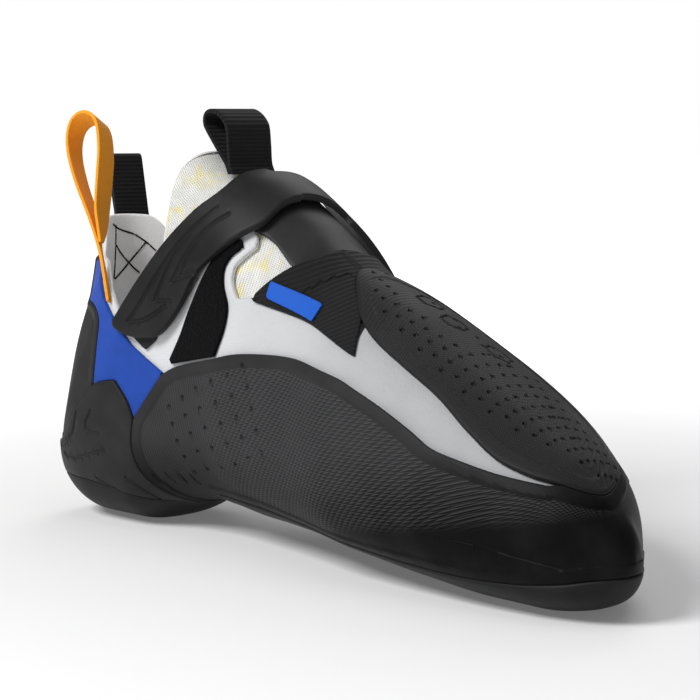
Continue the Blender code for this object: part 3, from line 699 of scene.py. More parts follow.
@dataclass(frozen=True)
class Layer:
    """One piece of material lasted over the shoe, cut to an outline."""

    name: str
    outline: Outline | Callable[[Sheet], Array]
    outside: float | Callable[[Array], Array]
    inside: float | Callable[[Array], Array]
    look: "Finish"
    stations: tuple[float, float] = (0.0, 1.0)
    turns: tuple[float, float] = (-1.0, 1.0)
    nodes: tuple[str, ...] = ()
    radius: float = 0.5 * MM
    both_edges: bool = False
    reliefs: tuple[Relief, ...] = ()
    cell: float = 1.35 * MM
    smooth: float = 40

    def _depth(self, which: float | Callable[[Array], Array], skin: Array) -> Array:
        """A depth given as a number or worked out from the points."""
        return which(skin) if callable(which) else np.full(len(skin), which)

    def build(self) -> bpy.types.Object:
        """Cuts, presses and lasts the piece.

        Returns:
            The finished object.
        """
        sheet = Sheet(self.stations, self.turns, self.cell)
        if isinstance(self.outline, Outline):
            sheet.fields["inside"] = self.outline.inside(sheet.st, sheet.skin())
        else:
            sheet.fields["inside"] = self.outline(sheet)
        for share in (0, 0.14, 0.45, 1):
            sheet.cut("inside", share * self.radius)
            if share == 0:
                sheet.keep("inside")
        pressed = 0
        for index, relief in enumerate(self.reliefs):
            sheet.fields[f"relief {index}"] = relief.shape(sheet)
        for index in range(len(self.reliefs)):
            pressed = pressed + sheet.fields[f"relief {index}"]
        edge = np.clip(sheet.fields["inside"], 0, None)
        away = np.clip(1 - edge / self.radius, 0, 1)
        rounded = self.radius * (1 - np.sqrt(np.clip(1 - away**2, 0, 1)))
        skin = sheet.skin()
        outside = self._depth(self.outside, skin) + rounded + pressed
        inside = self._depth(self.inside, skin) - (rounded if self.both_edges else 0)
        made = self._solid(sheet, outside, np.maximum(inside, outside + 0.05 * MM))
        return finish_piece(made, self.look, self.nodes, self.smooth)

    def _solid(self, sheet: Sheet, outside: Array, inside: Array) -> bpy.types.Object:
        """A closed solid between two depths under the sheet."""
        st, tri = sheet.st, sheet.tri
        uv = LAST.cloth_uv(st)
        key = np.round(sheet.skin() / 2e-6 + 0.137).astype(np.int64)
        _, first, same = np.unique(key, axis=0, return_index=True, return_inverse=True)
        welded = same.reshape(-1)[tri]
        sound = (welded[:, 0] != welded[:, 1]) & (welded[:, 1] != welded[:, 2])
        sound &= welded[:, 0] != welded[:, 2]
        tri, welded = tri[sound], welded[sound]
        st, outside, inside = st[first], outside[first], inside[first]
        count = len(st)
        outer, inner = LAST.at(st, outside), LAST.at(st, inside)
        a, b, c = (outer[welded[:, k]] for k in range(3))
        facing = np.einsum("ij,ij->", np.cross(b - a, c - a), LAST.normal(st)[welded[:, 0]])
        if facing < 0:
            tri, welded = tri[:, ::-1], welded[:, ::-1]
        ends = np.concatenate([welded[:, [0, 1]], welded[:, [1, 2]], welded[:, [2, 0]]])
        old = np.concatenate([tri[:, [0, 1]], tri[:, [1, 2]], tri[:, [2, 0]]])
        code = np.sort(ends, axis=1) @ np.array([count, 1])
        _, index, times = np.unique(code, return_index=True, return_counts=True)
        rim, rim_old = ends[index[times == 1]], old[index[times == 1]]
        wall_a = np.column_stack([rim[:, 1], rim[:, 0], rim[:, 0] + count])
        wall_b = np.column_stack([rim[:, 1], rim[:, 0] + count, rim[:, 1] + count])
        faces = np.vstack([welded, welded[:, ::-1] + count, wall_a, wall_b])
        corners = np.vstack([tri, tri[:, ::-1], rim_old[:, [1, 0, 0]], rim_old[:, [1, 0, 1]]])
        mesh = bpy.data.meshes.new(self.name)
        mesh.from_pydata(np.vstack([outer, inner]).tolist(), [], faces.tolist())
        mesh.uv_layers.new(name="UVMap").data.foreach_set("uv", uv[corners].ravel())
        marks = {"edge": sheet.fields["inside"][first] / MM}
        pressed = [sheet.fields[k][first] for k in sheet.fields if k.startswith("relief")]
        marks["pressed"] = (np.sum(pressed, axis=0) if pressed else np.zeros(count)) / MM
        for name, values in marks.items():
            layer = mesh.attributes.new(name, "FLOAT", "POINT")
            layer.data.foreach_set("value", np.tile(values, 2).astype(np.float32))
        lining = mesh.attributes.new("lining", "FLOAT", "POINT")
        lining.data.foreach_set("value", np.repeat([0.0, 1.0], count).astype(np.float32))
        made = bpy.data.objects.new(self.name, mesh)
        bpy.context.scene.collection.objects.link(made)
        return made


# Finishes

Number = "Value | float"


class Value:
    """A shader socket whose arithmetic adds Math nodes."""

    def __init__(self, tree: bpy.types.NodeTree, socket: bpy.types.NodeSocket) -> None:
        """Keeps a socket and its node tree."""
        self.tree = tree
        self.socket = socket

    def _math(self, operation: str, *values: Number, clamp: bool = False) -> "Value":
        """A Math node on these values."""
        settings = {"operation": operation, "use_clamp": clamp}
        return node(self.tree, "ShaderNodeMath", settings, dict(enumerate(values)))

    def __add__(self, other: Number) -> "Value":
        """Their sum."""
        return self._math("ADD", self, other)

    def __sub__(self, other: Number) -> "Value":
        """The other taken from this."""
        return self._math("SUBTRACT", self, other)

    def __rsub__(self, other: Number) -> "Value":
        """This taken from the other."""
        return self._math("SUBTRACT", other, self)

    def __mul__(self, other: Number) -> "Value":
        """Their product."""
        return self._math("MULTIPLY", self, other)

    def __truediv__(self, other: Number) -> "Value":
        """This divided by the other."""
        return self._math("DIVIDE", self, other)

    def __pow__(self, other: Number) -> "Value":
        """This raised to the other."""
        return self._math("POWER", self, other)

    __radd__, __rmul__ = __add__, __mul__

    def at_least(self, other: Number) -> "Value":
        """The larger of the two."""
        return self._math("MAXIMUM", self, other)

    def sine(self) -> "Value":
        """The sine of the value, in radians."""
        return self._math("SINE", self)

    def rising(self, low: float, high: float) -> "Value":
        """A smooth step from 0 at low to 1 at high."""
        settings = {"interpolation_type": "SMOOTHSTEP"}
        return node(self.tree, "ShaderNodeMapRange", settings,
                    {"Value": self, "From Min": low, "From Max": high})


def node(tree: bpy.types.NodeTree, kind: str, settings: dict[str, object] | None = None,
         sockets: dict[str | int, object] | None = None, output: str | int = 0) -> Value:
    """Adds a shader node.

    Args:
        tree: The material's nodes.
        kind: The node's type.
        settings: Its own options, set first.
        sockets: Values, or Value links, of its inputs by name or number.
        output: Which of its outputs to give.

    Returns:
        That output.
    """
    made = tree.nodes.new(kind)
    for name, value in (settings or {}).items():
        if name == "stops":
            ramp = made.color_ramp.elements
            for element, (place, colour) in zip((ramp[0], ramp[1]), value[:2]):
                element.position, element.color = place, (*colour, 1)
            for place, colour in value[2:]:
                ramp.new(place).color = (*colour, 1)
        else:
            setattr(made, name, value)
    for name, value in (sockets or {}).items():
        if isinstance(value, Value):
            tree.links.new(value.socket, made.inputs[name])
        else:
            made.inputs[name].default_value = value
    return Value(tree, made.outputs[output])


Colour = tuple[float, float, float]


class Paint:
    """The inputs that a finish's pattern is worked out from, and ways to mix them."""

    def __init__(self, tree: bpy.types.NodeTree) -> None:
        """Starts on a node tree, with the place on the surface."""
        self.tree = tree
        self.place = node(tree, "ShaderNodeTexCoord", output="Object")
        uv = node(tree, "ShaderNodeUVMap", {"uv_map": "UVMap"})
        self.along = self.split(uv, "X")
        self.round = self.split(uv, "Y")

    def split(self, vector: Value, axis: str) -> Value:
        """One number of a vector."""
        return node(self.tree, "ShaderNodeSeparateXYZ", sockets={0: vector}, output=axis)

    def mark(self, name: str) -> Value:
        """A number kept at each point of the mesh."""
        return node(self.tree, "ShaderNodeAttribute", {"attribute_name": name}, output="Fac")

    def noise(self, size: float, detail: float = 3.0, stretch: Colour = (1, 1, 1)) -> Value:
        """Soft noise whose lumps are about this many metres."""
        moved = node(self.tree, "ShaderNodeMapping", sockets={"Vector": self.place, "Scale": stretch})
        return node(self.tree, "ShaderNodeTexNoise", {},
                    {"Vector": moved, "Scale": 1 / size, "Detail": detail, "Roughness": 0.55})

    def cells(self, size: float, feature: str = "F1", stretch: Colour = (1, 1, 1)) -> Value:
        """Distance in a pattern of cells about this many metres across."""
        moved = node(self.tree, "ShaderNodeMapping", sockets={"Vector": self.place, "Scale": stretch})
        return node(self.tree, "ShaderNodeTexVoronoi", {"feature": feature},
                    {"Vector": moved, "Scale": 1 / size}, "Distance")

    def waves(self, across: Value, pitch: float) -> Value:
        """A wave from 0 to 1 with this pitch in metres."""
        return (across * (2 * math.pi / pitch)).sine() * 0.5 + 0.5

    def blend(self, share: Value, first: object, second: object) -> Value:
        """The first colour where share is 0, the second where it is 1."""
        def colour(value: object) -> object:
            """A colour or value as a socket takes it."""
            return value if isinstance(value, Value) else (*value, 1)
        return node(self.tree, "ShaderNodeMix", {"data_type": "RGBA"},
                    {0: share, 6: colour(first), 7: colour(second)}, 2)

    def bump(self, height: Value, depth: float, strength: float = 1.0) -> Value:
        """A normal from a height of 0 to 1 that stands this many metres tall."""
        return node(self.tree, "ShaderNodeBump", {}, {"Height": height, "Distance": depth,
                                                      "Strength": strength})


@dataclass(frozen=True)
class Finish:
    """A finish: its slot in the record, its base colour, its roughness and its sheen."""

    slot: str
    colour: Colour
    roughness: float = 0.6
    sheen: float = 0.0
    specular: float = 0.14
    name: str = ""

    def pattern(self, paint: Paint) -> dict[str, object]:
        """What varies over the surface, by the name of the shader's socket."""
        grain = paint.noise(0.6 * MM)
        return {"Normal": paint.bump(grain, 0.05 * MM)}

    def dress(self, piece: bpy.types.Object) -> None:
        """Gives the piece this finish as its one material."""
        title = self.name or f"{type(self).__name__.lower()}_{self.slot}"
        material = bpy.data.materials.get(title)
        if material is None:
            material = bpy.data.materials.new(title)
            material.use_nodes = True
            material.diffuse_color = (*self.colour, 1)
            tree = material.node_tree
            shader = tree.nodes["Principled BSDF"]
            shader.inputs["Base Color"].default_value = (*self.colour, 1)
            shader.inputs["Roughness"].default_value = self.roughness
            shader.inputs["Specular IOR Level"].default_value = self.specular
            if self.sheen:
                shader.inputs["Sheen Weight"].default_value = self.sheen
                shader.inputs["Sheen Roughness"].default_value = 0.5
            for socket, value in self.pattern(Paint(tree)).items():
                tree.links.new(value.socket, shader.inputs[socket])
        piece.data.materials.clear()
        piece.data.materials.append(material)


@dataclass(frozen=True)
class Rubber(Finish):
    """Smooth black rubber with a faint bloom and a worn edge."""

    def pattern(self, paint: Paint) -> dict[str, object]:
        """What varies over the surface, by the name of the shader's socket."""
        bloom = paint.noise(14 * MM, 4)
        grain = paint.noise(0.35 * MM, 2)
        worn_edge_and_toe_shade = 1 - paint.mark("edge").rising(0.1, 0.9)
        light = tuple(min(1.0, c * 1.9 + 0.006) for c in self.colour)
        shade = paint.blend(bloom.rising(0.35, 0.75) * 0.45 + worn_edge_and_toe_shade * 0.35, self.colour, light)
        rough = bloom * 0.16 + (self.roughness - 0.08)
        height = grain * 0.6 + paint.noise(2.2 * MM, 2) * 0.4
        return {"Base Color": shade, "Roughness": rough, "Normal": paint.bump(height, 0.045 * MM)}


@dataclass(frozen=True)
class ScaledRubber(Finish):
    """Black rubber moulded with small scales inside a smooth border, with painted highlights on the tops
    of scales and ribs and painted shade on its low band.
    """

    border: float = 3.9
    pitch: float = 1.3 * MM
    front: float = 0.05
    low: float = 0.010
    rise: float = 0.17
    # The colour of the painted light: painted highlights on raised tops and the lit band above the floor
    # line.
    light: Colour = (0.052, 0.052, 0.054)

    def pattern(self, paint: Paint) -> dict[str, object]:
        """What varies over the surface, by the name of the shader's socket."""
        x = paint.split(paint.place, "X")
        z = paint.split(paint.place, "Z")
        field = paint.mark("edge").rising(self.border, self.border + 0.7)
        lines = [paint.waves(paint.along * math.cos(a) + paint.round * math.sin(a), self.pitch)
                 for a in (0.35, 0.35 + math.pi / 3, 0.35 + 2 * math.pi / 3)]
        scale_height = ((lines[0] + lines[1] + lines[2]) / 3).rising(0.34, 0.72)
        floor_line = z - (x - 0.09).at_least(0) * self.rise - self.low
        field = field * floor_line.rising(-0.002, 0.003)
        ribs = paint.waves(x + z * 0.25 + paint.noise(20 * MM, 1) * 0.004, 1.15 * MM)
        ahead = x.rising(self.front, self.front + 0.02)
        height = (ribs * 0.45) * (1 - ahead) + scale_height * ahead
        bloom = paint.noise(16 * MM, 4)
        grain = paint.noise(0.3 * MM, 2)
        # Painted light: the raised tops of scales and ribs are painted lighter as painted highlights,
        # and the rubber is painted lighter above the floor line and darker below it as painted shade.
        lit = height * field * 0.65 + floor_line.rising(0, 0.026) * 0.42
        shade = paint.blend(bloom.rising(0.3, 0.8) * 0.15 + lit, self.colour, self.light)
        rough = bloom * 0.14 + (self.roughness - 0.07)
        normal = paint.bump(height * field + grain * 0.08, 0.17 * MM)
        return {"Base Color": shade, "Roughness": rough, "Normal": normal}


@dataclass(frozen=True)
class Leather(Finish):
    """White synthetic leather with a fine pebbled grain, faint soiling and painted shade that darkens it
    towards the toe.
    """

    inner: Colour = (0.90, 0.90, 0.91)

    def pattern(self, paint: Paint) -> dict[str, object]:
        """What varies over the surface, by the name of the shader's socket."""
        pebbles = paint.cells(0.75 * MM, "F1")
        folds = paint.noise(7 * MM, 3, (1, 1, 2.2))
        soil = paint.noise(22 * MM, 4)
        dull = tuple(c * 0.86 for c in self.colour)
        outer = paint.blend(soil.rising(0.4, 0.8) * 0.5, self.colour, dull)
        # Painted shade: the outer face is darkened towards the toe, down to 55% of its colour and
        # mottled by the soil noise.
        toe = paint.split(paint.place, "X").rising(0.03, 0.14)
        worn_edge_and_toe_shade = tuple(c * 0.55 for c in self.colour)
        outer = paint.blend(toe * (soil * 0.5 + 0.6), outer, worn_edge_and_toe_shade)
        shade = paint.blend(paint.mark("lining"), outer, self.inner)
        height = (1 - pebbles.rising(0.1, 0.7)) * 0.5 + folds * 0.5
        return {"Base Color": shade, "Normal": paint.bump(height, 0.10 * MM),
                "Roughness": soil * 0.12 + (self.roughness - 0.05)}


@dataclass(frozen=True)
class Suede(Finish):
    """Dense coloured microfibre with short fibres that catch the light."""

    def pattern(self, paint: Paint) -> dict[str, object]:
        """What varies over the surface, by the name of the shader's socket."""
        fibre = paint.noise(0.45 * MM, 4, (1, 1, 1.6))
        patches = paint.noise(9 * MM, 3)
        dark = tuple(c * 0.72 for c in self.colour)
        edge = 1 - paint.mark("edge").rising(0.1, 0.8)
        shade = paint.blend(patches.rising(0.3, 0.75) * 0.55 + edge * 0.3, self.colour, dark)
        return {"Base Color": shade, "Normal": paint.bump(fibre, 0.11 * MM)}


@dataclass(frozen=True)
class Ribbed(Finish):
    """A knit or webbing with raised ribs on one way and fine yarns on the other, with painted shade in
    the valleys between them.
    """

    pitch: float = 1.6 * MM
    yarn: float = 0.7 * MM
    depth: float = 0.25 * MM
    ribs_along: bool = True
    fade: float = 0.55

    def pattern(self, paint: Paint) -> dict[str, object]:
        """What varies over the surface, by the name of the shader's socket."""
        across, run = paint.along, paint.round
        if not self.ribs_along:
            across, run = run, across
        ribs = paint.waves(across, self.pitch)
        yarns = paint.waves(run + ribs * (0.2 * self.yarn), self.yarn)
        fuzz = paint.noise(0.5 * MM, 3)
        height = ribs * 0.65 + yarns * 0.25 + fuzz * 0.1
        # Painted shade: the colour darkens to this share in the valleys between ribs and yarns.
        dark = tuple(c * self.fade for c in self.colour)
        shade = paint.blend(ribs * 0.7 + yarns * 0.3, dark, self.colour)
        return {"Base Color": shade, "Normal": paint.bump(height, self.depth)}


@dataclass(frozen=True)
class Mesh(Finish):
    """Open white mesh with a faint streaky print, its holes painted dark grey as painted shade."""

    print_colour: Colour = (0.82, 0.68, 0.10)
    hole: float = 1.3 * MM

    def pattern(self, paint: Paint) -> dict[str, object]:
        """What varies over the surface, by the name of the shader's socket."""
        a = paint.waves(paint.along + paint.round, self.hole)
        b = paint.waves(paint.along - paint.round, self.hole)
        holes = (a * b).rising(0.35, 0.8)
        streaks = paint.noise(5.5 * MM, 5, (1.0, 1.0, 0.55))
        lines = streaks.rising(0.44, 0.58)
        patches = paint.noise(9 * MM, 2).rising(0.42, 0.60)
        inked = paint.blend(lines * patches * 0.6, self.colour, self.print_colour)
        dull = paint.blend(paint.noise(4 * MM, 4).rising(0.35, 0.7) * 0.3, inked, (0.45, 0.45, 0.44))
        # Painted shade: the holes are painted dark grey as well as pressed in.
        shade = paint.blend(holes * 0.55, dull, (0.30, 0.30, 0.29))
        return {"Base Color": shade, "Normal": paint.bump(1 - holes, 0.22 * MM)}


@dataclass(frozen=True)
class Pile(Finish):
    """Fuzzy loop pile."""

    def pattern(self, paint: Paint) -> dict[str, object]:
        """What varies over the surface, by the name of the shader's socket."""
        tufts = paint.cells(0.8 * MM, "F1")
        fuzz = paint.noise(0.4 * MM, 5)
        light = tuple(c * 3.2 + 0.01 for c in self.colour)
        shade = paint.blend(fuzz.rising(0.5, 0.8) * 0.6, self.colour, light)
        height = (1 - tufts) * 0.5 + fuzz * 0.6
        return {"Base Color": shade, "Normal": paint.bump(height, 0.45 * MM)}


BLACK_RUBBER = Rubber("black_rubber", (0.014, 0.014, 0.0147), 0.50)
STRAP_RUBBER = Rubber("black_rubber", (0.010, 0.010, 0.0105), 0.46, name="strap_rubber")
SOLE_RUBBER = Rubber("black_rubber", (0.009, 0.009, 0.0095), 0.55, name="sole_rubber")
# A scaled rubber's colour is its painted shade, darkest on the rand's low band, and its light colour is
# its painted light and painted highlights.
RAND_RUBBER = ScaledRubber("textured_rubber", (0.003, 0.003, 0.0032), 0.47, specular=0.06)
PATCH_RUBBER = ScaledRubber("textured_rubber", (0.004, 0.004, 0.0042), 0.50, specular=0.10,
                            border=0.8, pitch=1.0 * MM, front=0.115, low=-1.0, rise=0.0,
                            light=(0.028, 0.028, 0.029), name="patch_rubber")
WHITE_LEATHER = Leather("white_leather", (0.62, 0.625, 0.64), 0.60)
BLUE_SUEDE = Suede("blue_panel", (0.012, 0.060, 0.36), 0.75, 0.10)
LABEL_CLOTH = Ribbed("blue_panel", (0.015, 0.12, 0.62), 0.6, pitch=0.5 * MM, yarn=0.5 * MM,
                     depth=0.05 * MM, name="label_cloth")
KNIT = Ribbed("black_knit", (0.012, 0.012, 0.013), 0.85, 0.06, pitch=2.0 * MM)
BLACK_WEBBING = Ribbed("black_webbing", (0.008, 0.008, 0.009), 0.8, 0.05, pitch=1.3 * MM)
ORANGE_WEBBING = Ribbed("orange_webbing", (0.88, 0.33, 0.018), 0.72, 0.05, pitch=0.9 * MM,
                        yarn=0.6 * MM, depth=0.04 * MM, fade=0.9)
TONGUE_MESH = Mesh("mesh_cloth", (0.74, 0.74, 0.71), 0.8, 0.1)
LOOP_PILE = Pile("loop_pile", (0.0025, 0.0025, 0.003), 0.95, 0.03, 0.05)
FLAP_CLOTH = Rubber("black_knit", (0.016, 0.016, 0.017), 0.42, name="flap_cloth")
THREAD = Finish("black_knit", (0.006, 0.006, 0.007), 0.8, name="black_thread")
HOOK_PLASTIC = Pile("hook_plastic", (0.016, 0.016, 0.017), 0.7)
INSOLE_CLOTH = Suede("insole_cloth", (0.17, 0.17, 0.18), 0.9)
BOARD = Rubber("midsole_board", (0.06, 0.06, 0.066), 0.75)


# The shoe's sub-assemblies

def bed_outline(inset: float) -> Array:
    """The outline of the foot's bed seen from above, this far inside the skin's sides."""
    use = LAST.s >= 0.25
    known_x = LAST.values["low_x"][use]
    rear = (0.060 - HEEL_SPOT) * LENGTH + inset / 2
    front = (0.985 - HEEL_SPOT) * LENGTH - inset / 2
    x = rear + (front - rear) * (1 - np.cos(np.linspace(0, np.pi, 60))) / 2
    outer = np.interp(x, known_x, LAST.values["outer"][use])
    inner = np.interp(x, known_x, LAST.values["inner"][use])
    half = np.maximum((inner + outer) / 2 - inset, 3 * MM)
    half *= np.sqrt(1 - np.clip((rear + HEEL_ARC - x) / HEEL_ARC, 0, 1) ** 2)
    half *= np.sqrt(1 - np.clip((x - front + TOE_ARC) / TOE_ARC, 0, 1) ** 2)
    middle = (outer - inner) / 2
    return np.vstack([np.column_stack([x, middle + half]),
                      np.column_stack([x, middle - half])[::-1], [[x[0], middle[0]]]])


BED_TOP = ARCH_RISE + SOLE_THICKNESS + GAP + UPPER_WALL + 3 * MM


def in_bed(points: Array, inset: float) -> Array:
    """How far inside the foot's bed each point lies seen from above, below 0 outside."""
    loop = bed_outline(inset)
    distance, _ = nearest_on(loop, points[:, :2])
    crossings = np.zeros(len(points), int)
    for a, b in zip(loop[:-1], loop[1:]):
        spans = (a[1] > points[:, 1]) != (b[1] > points[:, 1])
        rise = b[1] - a[1] if abs(b[1] - a[1]) > 1e-15 else 1e-15
        crossings += spans & (points[:, 0] < a[0] + (points[:, 1] - a[1]) / rise * (b[0] - a[0]))
    signed = np.where(crossings % 2 == 1, distance, -distance)
    return np.minimum(signed, BED_TOP + 2 * MM - points[:, 2])


class SubAssembly:
    """A group of pieces that are made together."""

    def build(self) -> None:
        """Makes every piece."""
        raise NotImplementedError


# A sewn box with a cross inside the heel's ear, as stations and turns
EAR_SEAMS = (
    ((0.015, -0.11), (0.02, 0.04), (0.03, 0.11), (0.04, 0.15)),
    ((0.015, -0.08), (0.035, -0.09), (0.055, -0.10)),
    ((0.03, 0.11), (0.04, 0.02), (0.055, -0.09)),
    ((0.03, -0.08), (0.04, 0), (0.05, 0.06)),
)


@dataclass
class Upper(SubAssembly):
    """The leather upper and what lies under the foot inside it."""

    collar: Outline = Outline((COLLAR_EDGE, COLLAR_NOTCH, COLLAR_QUARTER, QUARTER_TOP,
                               QUARTER_FRONT,
                               THROAT_EDGE, THROAT_FRONT, ((BEHIND, ABOVE), (BEHIND, 0.795))))

    def _outside_collar(self, sheet: Sheet) -> Array:
        """How far from the collar, throat and bed openings each point lies."""
        skin = sheet.skin()
        return np.minimum(-self.collar.inside(sheet.st, skin), -in_bed(skin, FEATHER_INSET))

    def build(self) -> None:
        """Makes the upper, the board and the insole."""
        Layer("leather_upper", self._outside_collar, LAST.cover,
              lambda p: LAST.cover(p) + UPPER_WALL, WHITE_LEATHER, nodes=("upper",),
              turns=(0.0, 2.0), radius=0.75 * MM, both_edges=True).build()
        Layer("midsole_board", lambda sheet: in_bed(sheet.skin(), FEATHER_INSET + GAP),
              LAST.cover, lambda p: LAST.cover(p) + UPPER_WALL, BOARD, nodes=("midsole",),
              turns=(-0.6, 0.6), cell=2.5 * MM).build()
        Layer("collar_stitching", Seam(EAR_SEAMS, 0.6 * MM),
              lambda p: LAST.cover(p) + UPPER_WALL - 0.1 * MM,
              lambda p: LAST.cover(p) + UPPER_WALL + 0.3 * MM, THREAD, (0, 0.075), (-0.25, 0.25),
              radius=0.2 * MM, both_edges=True, cell=1.0 * MM).build()
        low = UPPER_WALL + GAP
        Layer("insole_lining", lambda sheet: in_bed(sheet.skin(), INSOLE_INSET),
              lambda p: LAST.cover(p) + low, lambda p: LAST.cover(p) + low + INSOLE_THICKNESS,
              INSOLE_CLOTH, nodes=("insole",), turns=(-0.6, 0.6), cell=2.0 * MM,
              both_edges=True).build()




def rand_pits() -> Curve:
    """Staggered rows of dimples that fan down over the rand's rear.

    Returns:
        Their places as stations and turns.
    """
    return tuple((0.40 + 0.026 * k + 0.010 * row, -0.30 - 0.025 * k - 0.0025 * k * k + 0.038 * row)
                 for row in range(-2, 3) for k in range(6))


RAND_PITS = rand_pits()
CUP_GROOVES = (
    ((0.25, -0.35), (0.25, -0.31), (0.27, -0.31)),
    ((0.23, -0.33), (0.23, -0.28), (0.21, -0.22)),
    ((0.22, -0.22), (0.24, -0.24), (0.28, -0.28)),
    ((0.31, -0.23), (0.33, -0.19), (0.34, -0.15), (0.34, -0.11)),
    ((0.27, -0.21), (0.30, -0.19), (0.33, -0.14)),
)
SCORE_WIDTH = 0.7 * MM
CUP_GROOVE_DEPTH = 0.45 * MM
SLOT_DEPTH = 0.6 * MM
RAND_BORDER = 3.6 * MM
PATCH_BORDER = 4.6 * MM
BORDER_STEP = 0.35 * MM
RAND_SLOTS = tuple(((0.35 + 0.02 * k, -0.21), (0.357 + 0.02 * k, -0.185)) for k in range(4))
RAND_LOW_BAND = ((0.74, -0.43), (0.79, -0.45), (0.84, -0.465), (0.89, -0.46), (0.93, -0.44))


# The perforated field of the toe patch, from its near edge to its far edge
PIT_NEAR = ((0.61, -1.01), (0.66, -0.92), (0.81, -0.87), (0.87, -0.89), (0.95, -1.05))
PIT_FAR = ((0.61, -1.06), (0.66, -0.99), (0.75, -1.01), (0.79, -1.17), (0.95, -1.21))
PIT_ROW = 0.0155
PIT_RADIUS = 0.80 * MM
PIT_DEPTH = 0.8 * MM
PIT_STEP = 0.042
HEXAGONS = ((0.67, -1.08), (0.71, -1.08), (0.76, -1.12))
HEXAGON_REACH = (0.014, 0.036)
RIDGE_BAND = -0.93


def patch_pits() -> Curve:
    """Rows of perforations across the toe patch, every other row moved half a step.

    Returns:
        Their places as stations and turns.
    """
    places = []
    for k, station in enumerate(np.arange(PIT_NEAR[0][0], PIT_NEAR[-1][0], PIT_ROW)):
        near, far = (np.interp(station, *zip(*edge)) for edge in (PIT_NEAR, PIT_FAR))
        turns = np.arange(near - (k % 2) * PIT_STEP / 2, far, -PIT_STEP)
        places += [(station, turn) for turn in turns]
    return tuple(places)


def hexagon(centre: tuple[float, float]) -> Curve:
    """A closed hexagon on the skin.

    Args:
        centre: Its station and turn.

    Returns:
        Its corners, the first one again at the end.
    """
    return tuple((centre[0] + HEXAGON_REACH[0] * math.cos(k * math.pi / 3),
                  centre[1] + HEXAGON_REACH[1] * math.sin(k * math.pi / 3)) for k in range(7))


PATCH_PITS = patch_pits()


@dataclass
class Rubbers(SubAssembly):
    """The soles, and the rubber that wraps the upper."""

    def soles(self) -> None:
        """The two soles."""
        under = ((0.262, 0.060), (0.262, BELOW)), ((0.262, BELOW), (BEHIND, BELOW))
        Layer("heel_sole_rubber", Outline((HEEL_SOLE_EDGE, *under)), 0.0,
              lambda p: LAST.cover(p) - GAP, SOLE_RUBBER, (0, 0.40), (-1, 1), ("heel_sole",),
              0.6 * MM).build()
        front = ((AHEAD, 0.108), (AHEAD, BELOW)), ((AHEAD, BELOW), (ARCH_FRONT, BELOW))
        rear = ((ARCH_FRONT, BELOW), (ARCH_FRONT, 0.112)),
        Layer("forefoot_sole", Outline((BALL_SOLE_EDGE, *front, *rear)), 0.0,
              lambda p: LAST.cover(p) - GAP, SOLE_RUBBER, (0.38, 1), (-1, 1), ("outsole",),
              0.7 * MM).build()

    def wrap(self) -> None:
        """Rand, heel cup and heel strip."""
        curves = (RAND_TOP, RAND_TIP, ((0.980, 0.242), (AHEAD, 0.242)), BALL_SOLE_EDGE[::-1],
                  ((ARCH_FRONT, 0.112), (ARCH_FRONT, BELOW)), ((ARCH_FRONT, BELOW), (0.262, BELOW)),
                  ((0.262, BELOW), (0.262, 0.060)), HEEL_CUP_FRONT[::-1], PANEL_LOW[::-1])
        reliefs = (Lip(RAND_BORDER, BORDER_STEP), Pits(RAND_PITS),
                   Groove(RAND_SLOTS, SCORE_WIDTH, SLOT_DEPTH),
                   Groove((RAND_LOW_BAND,), 0.5 * MM, 0.25 * MM))
        Layer("wrapped_rand", Outline(curves), SOLE_STEP, lambda p: LAST.cover(p) - GAP,
              RAND_RUBBER, (0.22, 1), (-1, 1), ("rand",), 0.6 * MM, reliefs=reliefs).build()
        cup = (HEEL_CUP_TOP, HEEL_CUP_PEAK, HEEL_CUP_SLOPE, HEEL_CUP_FRONT, HEEL_SOLE_EDGE[::-1])
        grooves = Groove(CUP_GROOVES, SCORE_WIDTH, CUP_GROOVE_DEPTH)
        Layer("heel_cup_rubber", Outline(cup), 0.0, lambda p: LAST.cover(p) - GAP, BLACK_RUBBER,
              (0, 0.40), (-1, 1), ("heel_cup",), 0.6 * MM, reliefs=(grooves,), cell=1.1 * MM).build()
        strip = (HEEL_CUP_TOP, PANEL_BACK, ((0.112, 0.684), (BEHIND, 0.720)))
        Layer("heel_back_strip", Outline(strip), RUBBER - STRIP_THICKNESS, RUBBER, BLACK_RUBBER,
              (0, 0.30), (-1, 1), ("heel_strip",), 0.5 * MM, reliefs=(Lip(1.6 * MM, 0.25 * MM),)).build()

    def patch(self) -> None:
        """The perforated patch over the toes."""
        outline = Outline((PATCH_EDGE, ((0.980, 0.242), (AHEAD, 0.242)),
                           ((AHEAD, 0.242), (AHEAD, ABOVE)), ((AHEAD, ABOVE), (0.524, ABOVE)),
                           ((0.524, ABOVE), (0.524, 0.742))))
        far = tuple((s, -t) for s, t in PATCH_PITS if t > RIDGE_BAND)
        patch_lines = tuple(pair for corners in map(hexagon, HEXAGONS)
                            for pair in zip(corners, corners[1:]))
        reliefs = (Lip(PATCH_BORDER, BORDER_STEP), Pits(PATCH_PITS + far, PIT_RADIUS, PIT_DEPTH, False),
                   Groove(patch_lines, 0.6 * MM, 0.5 * MM, False))
        Layer("toe_patch_rubber", outline, PATCH_STEP, RUBBER, PATCH_RUBBER, (0.5, 1), (0.35, 1.65),
              ("toe_patch",), 0.6 * MM, reliefs=reliefs, cell=1.0 * MM).build()

    def build(self) -> None:
        """Makes all the rubber."""
        self.soles()
        self.wrap()
        self.patch()


